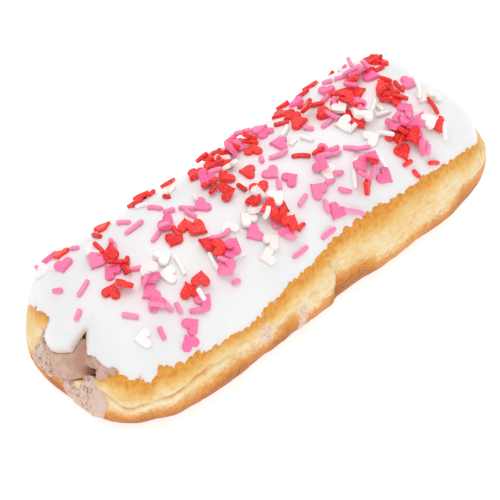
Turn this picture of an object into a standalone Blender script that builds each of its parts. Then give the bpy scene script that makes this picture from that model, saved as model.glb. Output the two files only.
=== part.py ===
"""Long john doughnut: a fried dough bar with a cream core, iced and strewn with sprinkles.

The bar lies along X with its open, cream-filled end at -X, its front side at -Y and its
flat underside on Z = 0. Three solids are made: the dough with a tunnel that opens at the
near end, the cream that fills the tunnel and swells out of the mouth, and the icing with
its sprinkles fused on.
"""

import math
import random

import bmesh
import bpy
from mathutils import Matrix, Quaternion, Vector
from mathutils.bvhtree import BVHTree

MM = 0.001

# Dough bar
LENGTH = 163.8 * MM
WIDTH = 62.7 * MM
HEIGHT = 42.6 * MM
WIDEST_HEIGHT = 13.4 * MM
PLAN_POWER = 3.75
CROWN_POWER = 2.5
FOOT_POWER = 2.0
FLAT_SHARE = 0.55

# Waists and shoulders of the bar: side of the bar, place along X, reach along X, amount out
SWELLS = (
    (1, 6 * MM, 44 * MM, -4.9 * MM),
    (1, -67 * MM, 13 * MM, 3.8 * MM),
    (-1, 12 * MM, 38 * MM, -1.9 * MM),
    (-1, -62 * MM, 12 * MM, 0.9 * MM),
    (-1, 68 * MM, 12 * MM, 1.8 * MM),
)

# Lapped fold in the front side, where the dough on its left bulges over the dough on its right
FOLD_X = 3.0 * MM
FOLD_REACH = 13 * MM
FOLD_HEIGHT = 14 * MM
FOLD_HEIGHT_REACH = 8 * MM
FOLD_BULGE = 1.3 * MM
FOLD_EDGE = 2.2 * MM

# Bulges of the side: X, Y, height, reach, amount out
BULGES = (
    (77 * MM, -24 * MM, 16 * MM, 11 * MM, 3.2 * MM),
    (80 * MM, -21 * MM, 26 * MM, 6 * MM, -1.6 * MM),
    (82 * MM, 2 * MM, 36 * MM, 14 * MM, -4.5 * MM),
    (75 * MM, 14 * MM, 37 * MM, 6 * MM, 1.8 * MM),
    (54 * MM, -31 * MM, 6 * MM, 12 * MM, 1.7 * MM),
    (27 * MM, -30 * MM, 11 * MM, 13 * MM, 1.3 * MM),
    (-2 * MM, -30 * MM, 7 * MM, 10 * MM, 0.6 * MM),
    (-15 * MM, -31 * MM, 11 * MM, 9 * MM, 1.0 * MM),
    (-42 * MM, -31 * MM, 6 * MM, 12 * MM, 1.5 * MM),
    (-58 * MM, -31 * MM, 11 * MM, 8 * MM, 0.8 * MM),
    (-64 * MM, -30 * MM, 14 * MM, 9 * MM, 0.7 * MM),
    (-81 * MM, 8 * MM, 12 * MM, 12 * MM, 0.7 * MM),
)

# Meshing
STATIONS = 80
OUTLINE_SAMPLES = 2400
MOUTH_CROWDING = 1.9
CROWDED_FROM = -60 * MM
CROWDED_TO = -72 * MM
FOOT_ANGLES = (-90, -68, -46, -26, -10)
SIDE_SHARES = (0.0, 0.5)
CROWN_SHARES = (0.0, 0.1, 0.28, 0.5, 0.75, 1.0)
RIDGE_ANGLE = 80
ANGLE_STEP = 0.002

# Icing
ICING_GAP = 0.3 * MM
ICING_THICKNESS = 1.5 * MM
LIP_THICKNESS = 0.5 * MM
LOBE_Y = 0.7 * MM
LOBE_HEIGHT = 29.5 * MM
LOBE_HALF_WIDTH = 7.8 * MM
LOBE_REACH_UP = 7.0 * MM
LOBE_BULGE = 4.3 * MM

# Lower edge of the icing: across the open end by Y, along the front by X, along the back by X
NEAR_EDGE = (
    (-23.0, 27.2), (-21.4, 28.2), (-19.0, 29.6), (-14.3, 30.4), (-12.7, 31.2), (-10.8, 31.6),
    (-9.8, 31.0), (-9.0, 32.2), (-7.7, 33.7), (-6.2, 35.4), (-5.7, 34.0), (-5.6, 31.2),
    (-5.1, 29.7), (-3.5, 29.0), (-1.4, 28.1), (1.4, 27.2), (5.7, 27.5), (8.0, 28.3), (8.6, 31.6),
    (9.6, 32.5), (11.3, 32.6), (13.7, 31.7), (17.3, 29.6), (21.0, 27.6), (25.0, 25.4),
)
FRONT_EDGE = (
    (-74.0, 26.4), (-70.4, 25.4), (-67.6, 28.4), (-64.0, 27.4), (-44.0, 26.8), (-34.0, 25.8),
    (-20.0, 27.7), (-6.0, 29.0), (6.0, 31.4), (20.0, 31.5), (44.0, 30.3), (66.0, 28.6),
    (74.0, 25.4),
)
BACK_EDGE = (
    (-76.0, 25.0), (-66.0, 23.4), (-50.0, 26.6), (-30.0, 28.4), (-8.0, 27.0), (14.0, 29.6),
    (38.0, 28.2), (60.0, 26.4), (76.0, 25.0),
)
CORNER_Y = 24.0 * MM

# Tunnel for the cream: place along X, centre Y and Z, half width, half height
TUNNEL = (
    (-78.0, -2.3, 25.6, 10.6, 8.6),
    (-72.0, -2.3, 25.0, 10.3, 8.0),
    (-62.0, -1.6, 22.8, 9.8, 6.8),
    (-46.0, -0.6, 20.6, 11.4, 7.4),
    (-16.0, 0.6, 20.2, 12.4, 7.6),
    (18.0, 0.2, 20.4, 11.2, 7.0),
    (42.0, 0.0, 20.2, 8.4, 5.6),
)
TUNNEL_POWER = 2.2
MOUTH_SLANT = 0.65
SLANT_FROM = -64 * MM
SLANT_TO = -76 * MM
TUNNEL_SIDES = 20
TUNNEL_OVERRUN = 12 * MM
TUNNEL_END = 52 * MM
CREAM_GAP = 0.35 * MM
CREAM_TIP = -84.0 * MM
DOME_SHARES = (0.30, 0.62, 0.86)
TUNNEL_END_SHARE = 0.55

# Sprinkles
SEED = 215
HEART_WIDTH = 5.9 * MM
HEART_THICKNESS = 1.4 * MM
HEART_CURVE = (13, -5, -2, -1)
HEART_CURVE_SIDE = 16
HEART_CURVE_MIDDLE = -2.5
HEART_OUTLINE = (0, 50, 98, 180, 262, 310)
STICK_WIDTH = 1.6 * MM
STICK_SHORTEST = 2.4 * MM
STICK_COMMONEST = 3.8 * MM
STICK_LONGEST = 9.2 * MM
STICK_SIDES = 6
SHORTEST_FUSED_STICK = 5.6 * MM
BARE_SHARE = 0.85
FAR_LIMIT = 72 * MM
HEAP_SPREAD = 4.0
PILED_IN_HEAP = 0.8
PILED_LOOSE = 0.1
CLOSE = 1.6 * MM
CLEAR = 4.5 * MM
TRIES = 60
LEAN_ALONE = 6
LEAN_PILED = 30
STEEPEST = 62
STICK_STEEPEST = 16

# How a candy comes to rest: how deep it sinks, lying and standing, and what it can lean on
SINK = 0.34 * MM
SINK_STANDING = 0.9 * MM
STICK_SAMPLES = 5
STICK_DISC_SHARE = 0.13
HEART_DISC_SHARE = 0.44
LEAST_FACING = 0.35
NEIGHBOURS = 9 * MM

# Drifts of sprinkles: X, Y, spread, hearts, sticks, share red, share pink
DRIFTS = (
    (-70, 5, 4, 0, 3, 0.3, 0.7),
    (-57, 8, 1.9, 5, 3, 0.4, 0.4),
    (-56, 0, 2, 0, 3, 1.0, 0.0),
    (-65, -4, 2, 2, 0, 0.5, 0.5),
    (-56, -8, 2.4, 2, 2, 0.0, 1.0),
    (-46, -9, 3.4, 3, 1, 0.0, 0.0),
    (-61, -16, 3.2, 2, 3, 0.0, 0.8),
    (-49, -20, 3.2, 4, 4, 0.3, 0.4),
    (-39, -14, 1.6, 1, 0, 1.0, 0.0),
    (-36, -23, 7, 0, 2, 0.0, 0.0),
    (-66, 21, 4, 4, 3, 0.4, 0.4),
    (-48, 15, 3.4, 1, 1, 1.0, 0.0),
    (-38, 9, 4.2, 0, 4, 0.0, 0.9),
    (-36, 1, 2.2, 4, 2, 0.5, 0.5),
    (-30, 17, 4, 2, 1, 1.0, 0.0),
    (-29, -6, 2.6, 2, 0, 1.0, 0.0),
    (-26, 3, 3, 1, 3, 0.1, 0.9),
    (-30, -16, 2, 5, 2, 0.1, 0.9),
    (-22, 9, 3, 0, 3, 0.0, 0.4),
    (-20, -16, 4, 5, 3, 0.0, 0.6),
    (-9, -10, 3, 9, 3, 0.7, 0.1),
    (-14, 5, 2.4, 4, 2, 0.8, 0.2),
    (0, -3, 4.2, 3, 4, 0.4, 0.6),
    (-4, 13, 2.8, 8, 5, 0.6, 0.3),
    (5, 16, 3.2, 6, 7, 0.3, 0.45),
    (13, 6, 4, 1, 5, 0.0, 0.4),
    (-9, -23, 2.8, 2, 3, 0.1, 0.8),
    (8, -21, 4.2, 2, 4, 0.2, 0.8),
    (17, -15, 3.6, 1, 5, 0.0, 0.5),
    (26, -17, 2.6, 4, 6, 0.4, 0.5),
    (19, -4, 3, 2, 4, 0.3, 0.7),
    (27, 12, 2.6, 5, 3, 0.6, 0.4),
    (37, 2, 3, 9, 8, 0.45, 0.4),
    (39, -7, 2.8, 2, 4, 0.2, 0.2),
    (43, -15, 2.4, 3, 4, 0.9, 0.0),
    (50, -14, 2, 5, 2, 0.0, 1.0),
    (46, -24, 3, 2, 4, 0.4, 0.6),
    (58, -19, 2.2, 3, 2, 0.5, 0.4),
    (55, -3, 2.6, 2, 7, 0.9, 0.1),
    (62, -8, 2.8, 3, 1, 0.0, 0.1),
    (46, 8, 3.4, 3, 4, 0.1, 0.9),
    (57, 10, 2.6, 3, 3, 0.3, 0.7),
    (66, 11, 2.4, 1, 4, 0.9, 0.1),
    (63, 21, 3.6, 3, 3, 0.6, 0.2),
    (38, 22, 7, 2, 3, 0.4, 0.3),
    (-24, 21, 6, 2, 2, 0.4, 0.3),
)

# Finish of each piece: colour, roughness
DOUGH_FINISH = ((0.80, 0.47, 0.16), 0.55)
CREAM_FINISH = ((0.52, 0.33, 0.25), 0.6)
ICING_FINISH = ((0.88, 0.86, 0.85), 0.35)

MERGE_DISTANCE = 0.0005 * MM
SHARP_ANGLE = 35


def signed_power(value, power):
    return math.copysign(abs(value) ** power, value)


def smooth_step(value, low, high):
    part = min(max((value - low) / (high - low), 0.0), 1.0)
    return part * part * (3 - 2 * part)


def hill(value, centre, reach):
    return math.exp(-((value - centre) / reach) ** 2)


def between(value, table):
    """Value read from a table of rising (place, amount) pairs by straight lines."""
    if value <= table[0][0]:
        return table[0][1]
    for (start, low), (end, high) in zip(table, table[1:]):
        if value <= end:
            return low + (high - low) * (value - start) / (end - start)
    return table[-1][1]


# Shape of the dough bar

def plan_powers(angle):
    along = signed_power(math.cos(angle), 2 / PLAN_POWER)
    across = signed_power(math.sin(angle), 2 / PLAN_POWER)
    return along, across


def plan_outward(angle):
    """Level direction that points out of the bar at a plan angle."""
    along, across = plan_powers(angle)
    return Vector((along / LENGTH, across / WIDTH, 0)).normalized()


def plan_point(angle, share):
    """Point of the plan at a share of the half width: 1 is the outline, 0 the ridge line."""
    along, across = plan_powers(angle)
    inset = WIDTH / 2 * (1 - share)
    x = along * (LENGTH / 2 - inset)
    y = across * (WIDTH / 2 - inset)
    swell = 0.0
    for side, place, reach, amount in SWELLS:
        if across * side > 0:
            swell += amount * hill(x, place, reach) * abs(across)
    outward = plan_outward(angle) * swell * share
    return x + outward.x, y + outward.y


def profile(angle):
    """Share of the half width and height at an angle from -90 under the bar to 90 on top."""
    if angle >= 0:
        share = math.cos(angle) ** (2 / CROWN_POWER)
        rise = math.sin(angle) ** (2 / CROWN_POWER)
        return share, WIDEST_HEIGHT + (HEIGHT - WIDEST_HEIGHT) * rise
    share = FLAT_SHARE + (1 - FLAT_SHARE) * math.cos(angle) ** (2 / FOOT_POWER)
    return share, WIDEST_HEIGHT * (1 - abs(math.sin(angle)) ** (2 / FOOT_POWER))


def side_relief(place):
    """How far the side stands out at its fold and its bulges."""
    amount = 0.0
    if place.y < 0:
        lapped = -math.tanh((place.x - FOLD_X) / FOLD_EDGE) * hill(place.x, FOLD_X, FOLD_REACH)
        amount += FOLD_BULGE * lapped * hill(place.z, FOLD_HEIGHT, FOLD_HEIGHT_REACH)
    for x, y, height, reach, bulge in BULGES:
        amount += bulge * hill((place - Vector((x, y, height))).length, 0.0, reach)
    return amount


def dough_point(plan_angle, profile_angle):
    share, z = profile(profile_angle)
    x, y = plan_point(plan_angle, share)
    place = Vector((x, y, z))
    return place + plan_outward(plan_angle) * side_relief(place)


def dough_normal(plan_angle, profile_angle):
    ahead = dough_point(plan_angle + ANGLE_STEP, profile_angle)
    behind = dough_point(plan_angle - ANGLE_STEP, profile_angle)
    over = dough_point(plan_angle, profile_angle + ANGLE_STEP)
    under = dough_point(plan_angle, profile_angle - ANGLE_STEP)
    return (ahead - behind).cross(over - under).normalized()


def crown_angle(height):
    """Profile angle at which the crown of the bar reaches a height."""
    rise = (height - WIDEST_HEIGHT) / (HEIGHT - WIDEST_HEIGHT)
    return math.asin(rise ** (CROWN_POWER / 2))


def edge_height(plan_angle):
    """Height of the lower edge of the icing at a place round the bar."""
    x, y = plan_point(plan_angle, 1.0)
    if x < 0 and abs(y) < CORNER_Y:
        return between(y / MM, NEAR_EDGE) * MM
    if y < 0:
        return between(x / MM, FRONT_EDGE) * MM
    return between(x / MM, BACK_EDGE) * MM


def station_angles():
    """Plan angles spaced evenly round the bar, closer together round the mouth."""
    angles = [math.pi * step / OUTLINE_SAMPLES for step in range(OUTLINE_SAMPLES + 1)]
    places = [Vector(plan_point(angle, 1.0)) for angle in angles]
    reach = [0.0]
    for place, following in zip(places, places[1:]):
        crowding = 1 + MOUTH_CROWDING * smooth_step(-place.x, -CROWDED_FROM, -CROWDED_TO)
        reach.append(reach[-1] + (following - place).length * crowding)
    table = list(zip(reach, angles))
    half = STATIONS // 2
    back = [between(reach[-1] * step / half, table) for step in range(half + 1)]
    front = [-angle for angle in reversed(back[1:-1])]
    return back + front


# Mesh building

def skin(name, rows):
    """Closed body through rows of points, its first and last row filled across."""
    count = len(rows[0])
    faces = []
    for row in range(len(rows) - 1):
        low = row * count
        high = low + count
        for step in range(count):
            following = (step + 1) % count
            faces.append((low + step, low + following, high + following))
            faces.append((low + step, high + following, high + step))
    faces.append(tuple(range(count)))
    faces.append(tuple(range((len(rows) - 1) * count, len(rows) * count)))
    return body(name, [point for row in rows for point in row], faces)


def body(name, points, faces):
    mesh = bpy.data.meshes.new(name)
    mesh.from_pydata([tuple(point) for point in points], [], faces)
    work = bmesh.new()
    work.from_mesh(mesh)
    bmesh.ops.triangulate(work, faces=work.faces)
    bmesh.ops.recalc_face_normals(work, faces=work.faces)
    work.to_mesh(mesh)
    work.free()
    piece = bpy.data.objects.new(name, mesh)
    bpy.context.scene.collection.objects.link(piece)
    return piece


def bake_modifiers(piece):
    """Swap the piece's mesh for the one that its modifiers give."""
    view = bpy.context.evaluated_depsgraph_get()
    mesh = bpy.data.meshes.new_from_object(piece.evaluated_get(view))
    piece.modifiers.clear()
    piece.data = mesh


def remove(piece):
    bpy.data.objects.remove(piece, do_unlink=True)


def cut(piece, cutter):
    boolean = piece.modifiers.new("Cut", "BOOLEAN")
    boolean.operation = "DIFFERENCE"
    boolean.solver = "EXACT"
    boolean.object = cutter
    bake_modifiers(piece)
    remove(cutter)


def islands(work):
    """Groups of faces that hang together."""
    left = set(work.faces)
    groups = []
    while left:
        start = left.pop()
        group = [start]
        open_faces = [start]
        while open_faces:
            for edge in open_faces.pop().edges:
                for face in edge.link_faces:
                    if face in left:
                        left.remove(face)
                        group.append(face)
                        open_faces.append(face)
        groups.append(group)
    return groups


def keep_one_body(piece):
    """Merge the finest steps, then drop loose scraps and fill sealed hollows."""
    work = bmesh.new()
    work.from_mesh(piece.data)
    bmesh.ops.triangulate(work, faces=work.faces)
    bmesh.ops.remove_doubles(work, verts=work.verts, dist=MERGE_DISTANCE)
    bmesh.ops.dissolve_degenerate(work, edges=work.edges, dist=MERGE_DISTANCE)
    bmesh.ops.triangulate(work, faces=work.faces)
    groups = sorted(islands(work), key=len)
    for group in groups[:-1]:
        bmesh.ops.delete(work, geom=group, context="FACES")
    loose = [vertex for vertex in work.verts if not vertex.link_faces]
    bmesh.ops.delete(work, geom=loose, context="VERTS")
    work.to_mesh(piece.data)
    work.free()


def finish(piece, look):
    colour, roughness = look
    material = bpy.data.materials.new(piece.name + " finish")
    material.use_nodes = True
    shader = material.node_tree.nodes["Principled BSDF"]
    shader.inputs["Base Color"].default_value = (*colour, 1.0)
    shader.inputs["Roughness"].default_value = roughness
    shader.inputs["Metallic"].default_value = 0.0
    piece.data.materials.clear()
    piece.data.materials.append(material)
    piece.data.shade_smooth()
    piece.data.set_sharp_from_angle(angle=math.radians(SHARP_ANGLE))


# Cream and its tunnel

def tunnel_size(x):
    """Centre and half sizes of the tunnel at a place along X."""
    sizes = []
    for column in range(1, 5):
        table = [(row[0], row[column]) for row in TUNNEL]
        sizes.append(between(x / MM, table) * MM)
    return sizes


def ring(x, share, shrink):
    """Ring of points round the tunnel, scaled by a share and drawn in by a margin. At the mouth
    the floor of the tunnel slants up towards the front side."""
    centre_y, centre_z, half_width, half_height = tunnel_size(x)
    slant = MOUTH_SLANT * smooth_step(-x, -SLANT_FROM, -SLANT_TO)
    points = []
    for step in range(TUNNEL_SIDES):
        angle = 2 * math.pi * step / TUNNEL_SIDES
        y = signed_power(math.sin(angle), 2 / TUNNEL_POWER) * (half_width - shrink) * share
        z = signed_power(math.cos(angle), 2 / TUNNEL_POWER) * (half_height - shrink) * share
        z -= slant * y * max(-math.cos(angle), 0)
        points.append(Vector((x, centre_y + y, centre_z + z)))
    return points


def tunnel_cutter():
    rows = [ring(TUNNEL[0][0] * MM - TUNNEL_OVERRUN, 1.0, 0.0)]
    rows += [ring(row[0] * MM, 1.0, 0.0) for row in TUNNEL]
    rows.append(ring(TUNNEL_END, TUNNEL_END_SHARE, 0.0))
    return skin("tunnel cutter", rows)


def cream_body(name, margin):
    """Cream from its domed tip at the mouth to the far end of the tunnel."""
    mouth = TUNNEL[0][0] * MM
    depth = mouth - (CREAM_TIP - CREAM_GAP + margin)
    rows = []
    for share in DOME_SHARES:
        rows.append(ring(mouth - depth * math.sqrt(1 - share * share), share, margin))
    rows += [ring(row[0] * MM, 1.0, margin) for row in TUNNEL]
    rows.append(ring(TUNNEL_END - margin, TUNNEL_END_SHARE, margin))
    return skin(name, rows)


# Dough

def make_dough(angles):
    rows = []
    for degrees in FOOT_ANGLES:
        rows.append([dough_point(angle, math.radians(degrees)) for angle in angles])
    for share in SIDE_SHARES:
        rows.append([dough_point(angle, crown_angle(edge_height(angle)) * share) for angle in angles])
    for share in CROWN_SHARES:
        rows.append([dough_point(angle, crown_row(angle, share)) for angle in angles])
    dough = skin("dough", rows)
    cut(dough, tunnel_cutter())
    keep_one_body(dough)
    return dough


# Icing

def crown_row(plan_angle, share):
    """Profile angle at a share of the way from the edge of the icing to the ridge."""
    edge = crown_angle(edge_height(plan_angle))
    return edge + (math.radians(RIDGE_ANGLE) - edge) * share


def lobe_bulge(point):
    """Extra depth of the icing where it drapes over the cream at the mouth."""
    if point.x > 0:
        return 0.0
    across = hill(point.y, LOBE_Y, LOBE_HALF_WIDTH)
    return LOBE_BULGE * across * hill(point.z, LOBE_HEIGHT, LOBE_REACH_UP)


def icing_point(plan_angle, share, depth):
    profile_angle = crown_row(plan_angle, share)
    point = dough_point(plan_angle, profile_angle)
    if depth > 0:
        depth += lobe_bulge(point)
    return point + dough_normal(plan_angle, profile_angle) * (ICING_GAP + depth)


def make_icing(angles):
    rows = []
    for share in reversed(CROWN_SHARES[1:]):
        rows.append([icing_point(angle, share, ICING_THICKNESS) for angle in angles])
    rows.append([icing_point(angle, 0.0, LIP_THICKNESS) for angle in angles])
    for share in CROWN_SHARES:
        rows.append([icing_point(angle, share, 0.0) for angle in angles])
    icing = skin("icing", rows)
    cut(icing, cream_body("cream cutter", 0.0))
    return icing


# Sprinkles

def share_at(x, y):
    """Share of the half width at which a place of the plan lies."""
    swell = sum(amount * hill(x, place, reach) for side, place, reach, amount in SWELLS if y * side > 0)
    across = abs(y) / (WIDTH / 2 + swell)
    beyond = (abs(x) - (LENGTH - WIDTH) / 2) / (WIDTH / 2)
    return (across ** PLAN_POWER + max(beyond, 0.0) ** PLAN_POWER) ** (1 / PLAN_POWER)


def scatter():
    """Sprinkles drift by drift: kind, place, heading, lean, lean heading, length, colour."""
    draw = random.Random(SEED)
    laid = []
    for x, y, spread, hearts, sticks, red, pink in DRIFTS:
        piled = PILED_IN_HEAP if spread < HEAP_SPREAD else PILED_LOOSE
        for kind in ["heart"] * hearts + ["stick"] * sticks:
            room = CLOSE if draw.random() < piled else CLEAR
            for _ in range(TRIES):
                place = Vector((draw.gauss(x, spread) * MM, draw.gauss(y, spread) * MM))
                nearest = min(((place - item[1]).length for item in laid), default=CLEAR)
                on_icing = share_at(place.x, place.y) < BARE_SHARE and place.x < FAR_LIMIT
                if on_icing and nearest >= room:
                    break
            else:
                continue
            lean = abs(draw.gauss(0, LEAN_PILED if nearest < CLEAR else LEAN_ALONE))
            heading = draw.uniform(0, 360)
            lean_heading = draw.uniform(0, 360)
            length = draw.triangular(STICK_SHORTEST, STICK_LONGEST, STICK_COMMONEST)
            chance = draw.random()
            colour = "red" if chance < red else "pink" if chance < red + pink else "white"
            lean = min(lean, STEEPEST if kind == "heart" else STICK_STEEPEST)
            laid.append((kind, place, heading, lean, lean_heading, length, colour))
    return laid


def heart_points():
    """Outline of a candy heart, point down, one unit wide."""
    points = []
    for degrees in HEART_OUTLINE:
        angle = math.radians(degrees)
        x = HEART_CURVE_SIDE * math.sin(angle) ** 3
        y = sum(amount * math.cos(turn * angle) for turn, amount in enumerate(HEART_CURVE, 1))
        points.append((x / (2 * HEART_CURVE_SIDE), (y - HEART_CURVE_MIDDLE) / (2 * HEART_CURVE_SIDE)))
    return points


def prism(name, outline, thickness):
    """Flat body with the outline in X and Y and its middle at Z = 0."""
    count = len(outline)
    points = []
    for height in (-thickness / 2, thickness / 2):
        points += [(x, y, height) for x, y in outline]
    faces = [tuple(range(count)), tuple(range(2 * count - 1, count - 1, -1))]
    for step in range(count):
        following = (step + 1) % count
        faces.append((step, following, count + following, count + step))
    return body(name, points, faces)


def heart():
    outline = [(x * HEART_WIDTH, y * HEART_WIDTH) for x, y in heart_points()]
    return prism("heart", outline, HEART_THICKNESS)


def stick(length):
    """Round candy stick lying along X, one flat side down."""
    outline = []
    for step in range(STICK_SIDES):
        angle = 2 * math.pi * (step + 0.5) / STICK_SIDES
        outline.append((math.sin(angle) * STICK_WIDTH / 2, math.cos(angle) * STICK_WIDTH / 2))
    piece = prism("stick", outline, length)
    piece.data.transform(Matrix.Rotation(math.radians(90), 4, "Y"))
    return piece


def resting_samples(kind, length):
    """Places on the underside of a candy that it can rest on, in its own flat frame."""
    if kind == "heart":
        return [(x * HEART_WIDTH, y * HEART_WIDTH) for x, y in heart_points()]
    return [(length * (step / (STICK_SAMPLES - 1) - 0.5), 0.0) for step in range(STICK_SAMPLES)]


def height_on(disc, spot, normal):
    """How high a laid candy reaches over a place along the normal, 0 beside it."""
    top, facing, reach = disc
    slope = facing.dot(normal)
    if slope < LEAST_FACING:
        return 0.0
    height = (top - spot).dot(facing) / slope
    return height if (spot + normal * height - top).length < reach else 0.0


def come_to_rest(item, ground, discs):
    """Middle and turn of a candy laid on the icing and on the candies that lie there already."""
    kind, place, heading, lean, lean_heading, length, _ = item
    above = Vector((place.x, place.y, 2 * HEIGHT))
    foot, normal, _, _ = ground.ray_cast(above, Vector((0, 0, -1)))
    if foot is None:
        return None
    flat = Vector((0, 0, 1)).rotation_difference(normal) @ Quaternion((0, 0, 1), math.radians(heading))
    samples = resting_samples(kind, length)
    near = [disc for disc in discs if (disc[0] - foot).length < NEIGHBOURS]
    heights = []
    for across, along in samples:
        spot = foot + flat @ Vector((across, along, 0))
        icing_height = (ground.find_nearest(spot)[0] - spot).dot(normal)
        heights.append(max([icing_height] + [height_on(disc, spot, normal) for disc in near]))
    mean = sum(heights) / len(heights)
    lean_heading = math.radians(lean_heading if kind == "heart" else 0)
    slope = math.tan(math.radians(lean))
    tilts = [slope * math.cos(lean_heading), slope * math.sin(lean_heading)]
    for axis in (0, 1):
        spread = sum(sample[axis] ** 2 for sample in samples)
        rise = sum(sample[axis] * (height - mean) for sample, height in zip(samples, heights))
        tilts[axis] += rise / spread if spread else 0.0
    facing = Vector((-tilts[0], -tilts[1], 1)).normalized()
    lift = max(
        height - across * tilts[0] - along * tilts[1]
        for (across, along), height in zip(samples, heights)
    )
    lift -= SINK + (SINK_STANDING - SINK) * (1 - facing.z ** 2)
    turn = flat @ Vector((0, 0, 1)).rotation_difference(facing)
    thickness = HEART_THICKNESS if kind == "heart" else STICK_WIDTH
    return foot + normal * lift + turn @ Vector((0, 0, thickness / 2)), turn


def discs_of(kind, length, middle, turn):
    """Flat discs that stand for a laid candy: top, direction it faces, reach."""
    facing = turn @ Vector((0, 0, 1))
    if kind == "heart":
        return [(middle + facing * HEART_THICKNESS / 2, facing, HEART_DISC_SHARE * HEART_WIDTH)]
    reach = max(STICK_DISC_SHARE * length, STICK_WIDTH / 2)
    return [(middle + turn @ Vector((x, y, STICK_WIDTH / 2)), facing, reach)
            for x, y in resting_samples(kind, length)]


def strew(icing):
    """Lay the sprinkles on the icing and fuse them to it."""
    work = bmesh.new()
    work.from_mesh(icing.data)
    ground = BVHTree.FromBMesh(work)
    work.free()
    sprinkles = bpy.data.collections.new("sprinkles")
    bpy.context.scene.collection.children.link(sprinkles)
    discs = []
    for item in scatter():
        kind, length = item[0], item[-2]
        rest = come_to_rest(item, ground, discs)
        if rest is None:
            continue
        middle, turn = rest
        discs += discs_of(kind, length, middle, turn)
        if kind == "stick" and length < SHORTEST_FUSED_STICK:
            continue
        piece = heart() if kind == "heart" else stick(length)
        piece.data.transform(Matrix.Translation(middle) @ turn.to_matrix().to_4x4())
        bpy.context.scene.collection.objects.unlink(piece)
        sprinkles.objects.link(piece)
    union = icing.modifiers.new("Fuse", "BOOLEAN")
    union.operation = "UNION"
    union.solver = "EXACT"
    union.operand_type = "COLLECTION"
    union.collection = sprinkles
    bake_modifiers(icing)
    for piece in list(sprinkles.objects):
        remove(piece)
    bpy.data.collections.remove(sprinkles)
    keep_one_body(icing)


def centre_on_origin(pieces):
    """Shift the pieces so that the middle of their plan is on the origin."""
    corners = [vertex.co for piece in pieces for vertex in piece.data.vertices]
    middle_x = (min(corner.x for corner in corners) + max(corner.x for corner in corners)) / 2
    middle_y = (min(corner.y for corner in corners) + max(corner.y for corner in corners)) / 2
    for piece in pieces:
        piece.data.transform(Matrix.Translation((-middle_x, -middle_y, 0)))


def main():
    for piece in list(bpy.data.objects):
        bpy.data.objects.remove(piece, do_unlink=True)
    angles = station_angles()
    dough = make_dough(angles)
    cream = cream_body("filling", CREAM_GAP)
    icing = make_icing(angles)
    strew(icing)
    finish(dough, DOUGH_FINISH)
    finish(cream, CREAM_FINISH)
    finish(icing, ICING_FINISH)
    centre_on_origin([dough, cream, icing])


main()
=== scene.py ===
"""Looks of the long john doughnut: crust, set icing, whipped cream and candy sprinkles.

Every surface is worked out from the same named sizes as the solids and then moved to where the
packed dough lies. The bar lies along X, its open end at -X and its lapped front side at -Y.
"""

import math
import random

import bmesh
import bpy
import numpy as np
from mathutils import Matrix, Quaternion, Vector, noise
from mathutils.bvhtree import BVHTree
from mathutils.kdtree import KDTree


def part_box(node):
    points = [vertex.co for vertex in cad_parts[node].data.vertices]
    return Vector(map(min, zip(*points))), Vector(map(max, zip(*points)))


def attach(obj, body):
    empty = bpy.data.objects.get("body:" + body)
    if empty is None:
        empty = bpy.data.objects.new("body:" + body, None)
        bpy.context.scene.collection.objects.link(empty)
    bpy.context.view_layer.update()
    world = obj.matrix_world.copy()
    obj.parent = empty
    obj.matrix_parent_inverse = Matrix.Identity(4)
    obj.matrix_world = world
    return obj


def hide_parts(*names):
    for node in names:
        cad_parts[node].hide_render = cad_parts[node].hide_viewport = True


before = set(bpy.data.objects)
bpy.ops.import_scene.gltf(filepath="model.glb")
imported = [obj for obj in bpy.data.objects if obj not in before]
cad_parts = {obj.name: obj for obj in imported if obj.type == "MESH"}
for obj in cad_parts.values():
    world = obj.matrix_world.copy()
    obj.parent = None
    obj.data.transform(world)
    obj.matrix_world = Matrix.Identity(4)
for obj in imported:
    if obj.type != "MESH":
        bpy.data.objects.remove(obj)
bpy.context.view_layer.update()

MM = 0.001

# Dough bar
LENGTH = 163.8 * MM
WIDTH = 62.7 * MM
HEIGHT = 42.6 * MM
WIDEST_HEIGHT = 13.4 * MM
PLAN_POWER = 3.75
CROWN_POWER = 2.5
FOOT_POWER = 2.0
FLAT_SHARE = 0.55

# Waists and shoulders of the bar: side of the bar, place along X, reach along X, amount out
SWELLS = (
    (1, 6 * MM, 44 * MM, -4.9 * MM),
    (1, -67 * MM, 13 * MM, 3.8 * MM),
    (-1, 12 * MM, 38 * MM, -1.9 * MM),
    (-1, -62 * MM, 12 * MM, 0.9 * MM),
    (-1, 68 * MM, 12 * MM, 1.8 * MM),
)

# Lapped fold in the front side
FOLD_X = 3.0 * MM
FOLD_REACH = 13 * MM
FOLD_HEIGHT = 14 * MM
FOLD_HEIGHT_REACH = 8 * MM
FOLD_BULGE = 1.3 * MM
FOLD_EDGE = 2.2 * MM

# Bulges of the side: X, Y, height, reach, amount out
BULGES = np.array((
    (77, -24, 16, 11, 3.2),
    (80, -21, 26, 6, -1.6),
    (82, 2, 36, 14, -4.5),
    (75, 14, 37, 6, 1.8),
    (54, -31, 6, 12, 1.7),
    (27, -30, 11, 13, 1.3),
    (-2, -30, 7, 10, 0.6),
    (-15, -31, 11, 9, 1.0),
    (-42, -31, 6, 12, 1.5),
    (-58, -31, 11, 8, 0.8),
    (-64, -30, 14, 9, 0.7),
    (-81, 8, 12, 12, 0.7),
)) * MM

# Icing
ICING_GAP = 0.3 * MM
ICING_THICKNESS = 1.5 * MM
LIP_THICKNESS = 0.8 * MM
LIP_REACH = 1.0 * MM
THICKENING = 6.0 * MM
LOBE_Y = 0.7 * MM
LOBE_HEIGHT = 29.5 * MM
LOBE_HALF_WIDTH = 7.8 * MM
LOBE_REACH_UP = 7.0 * MM
LOBE_BULGE = 4.3 * MM

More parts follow.
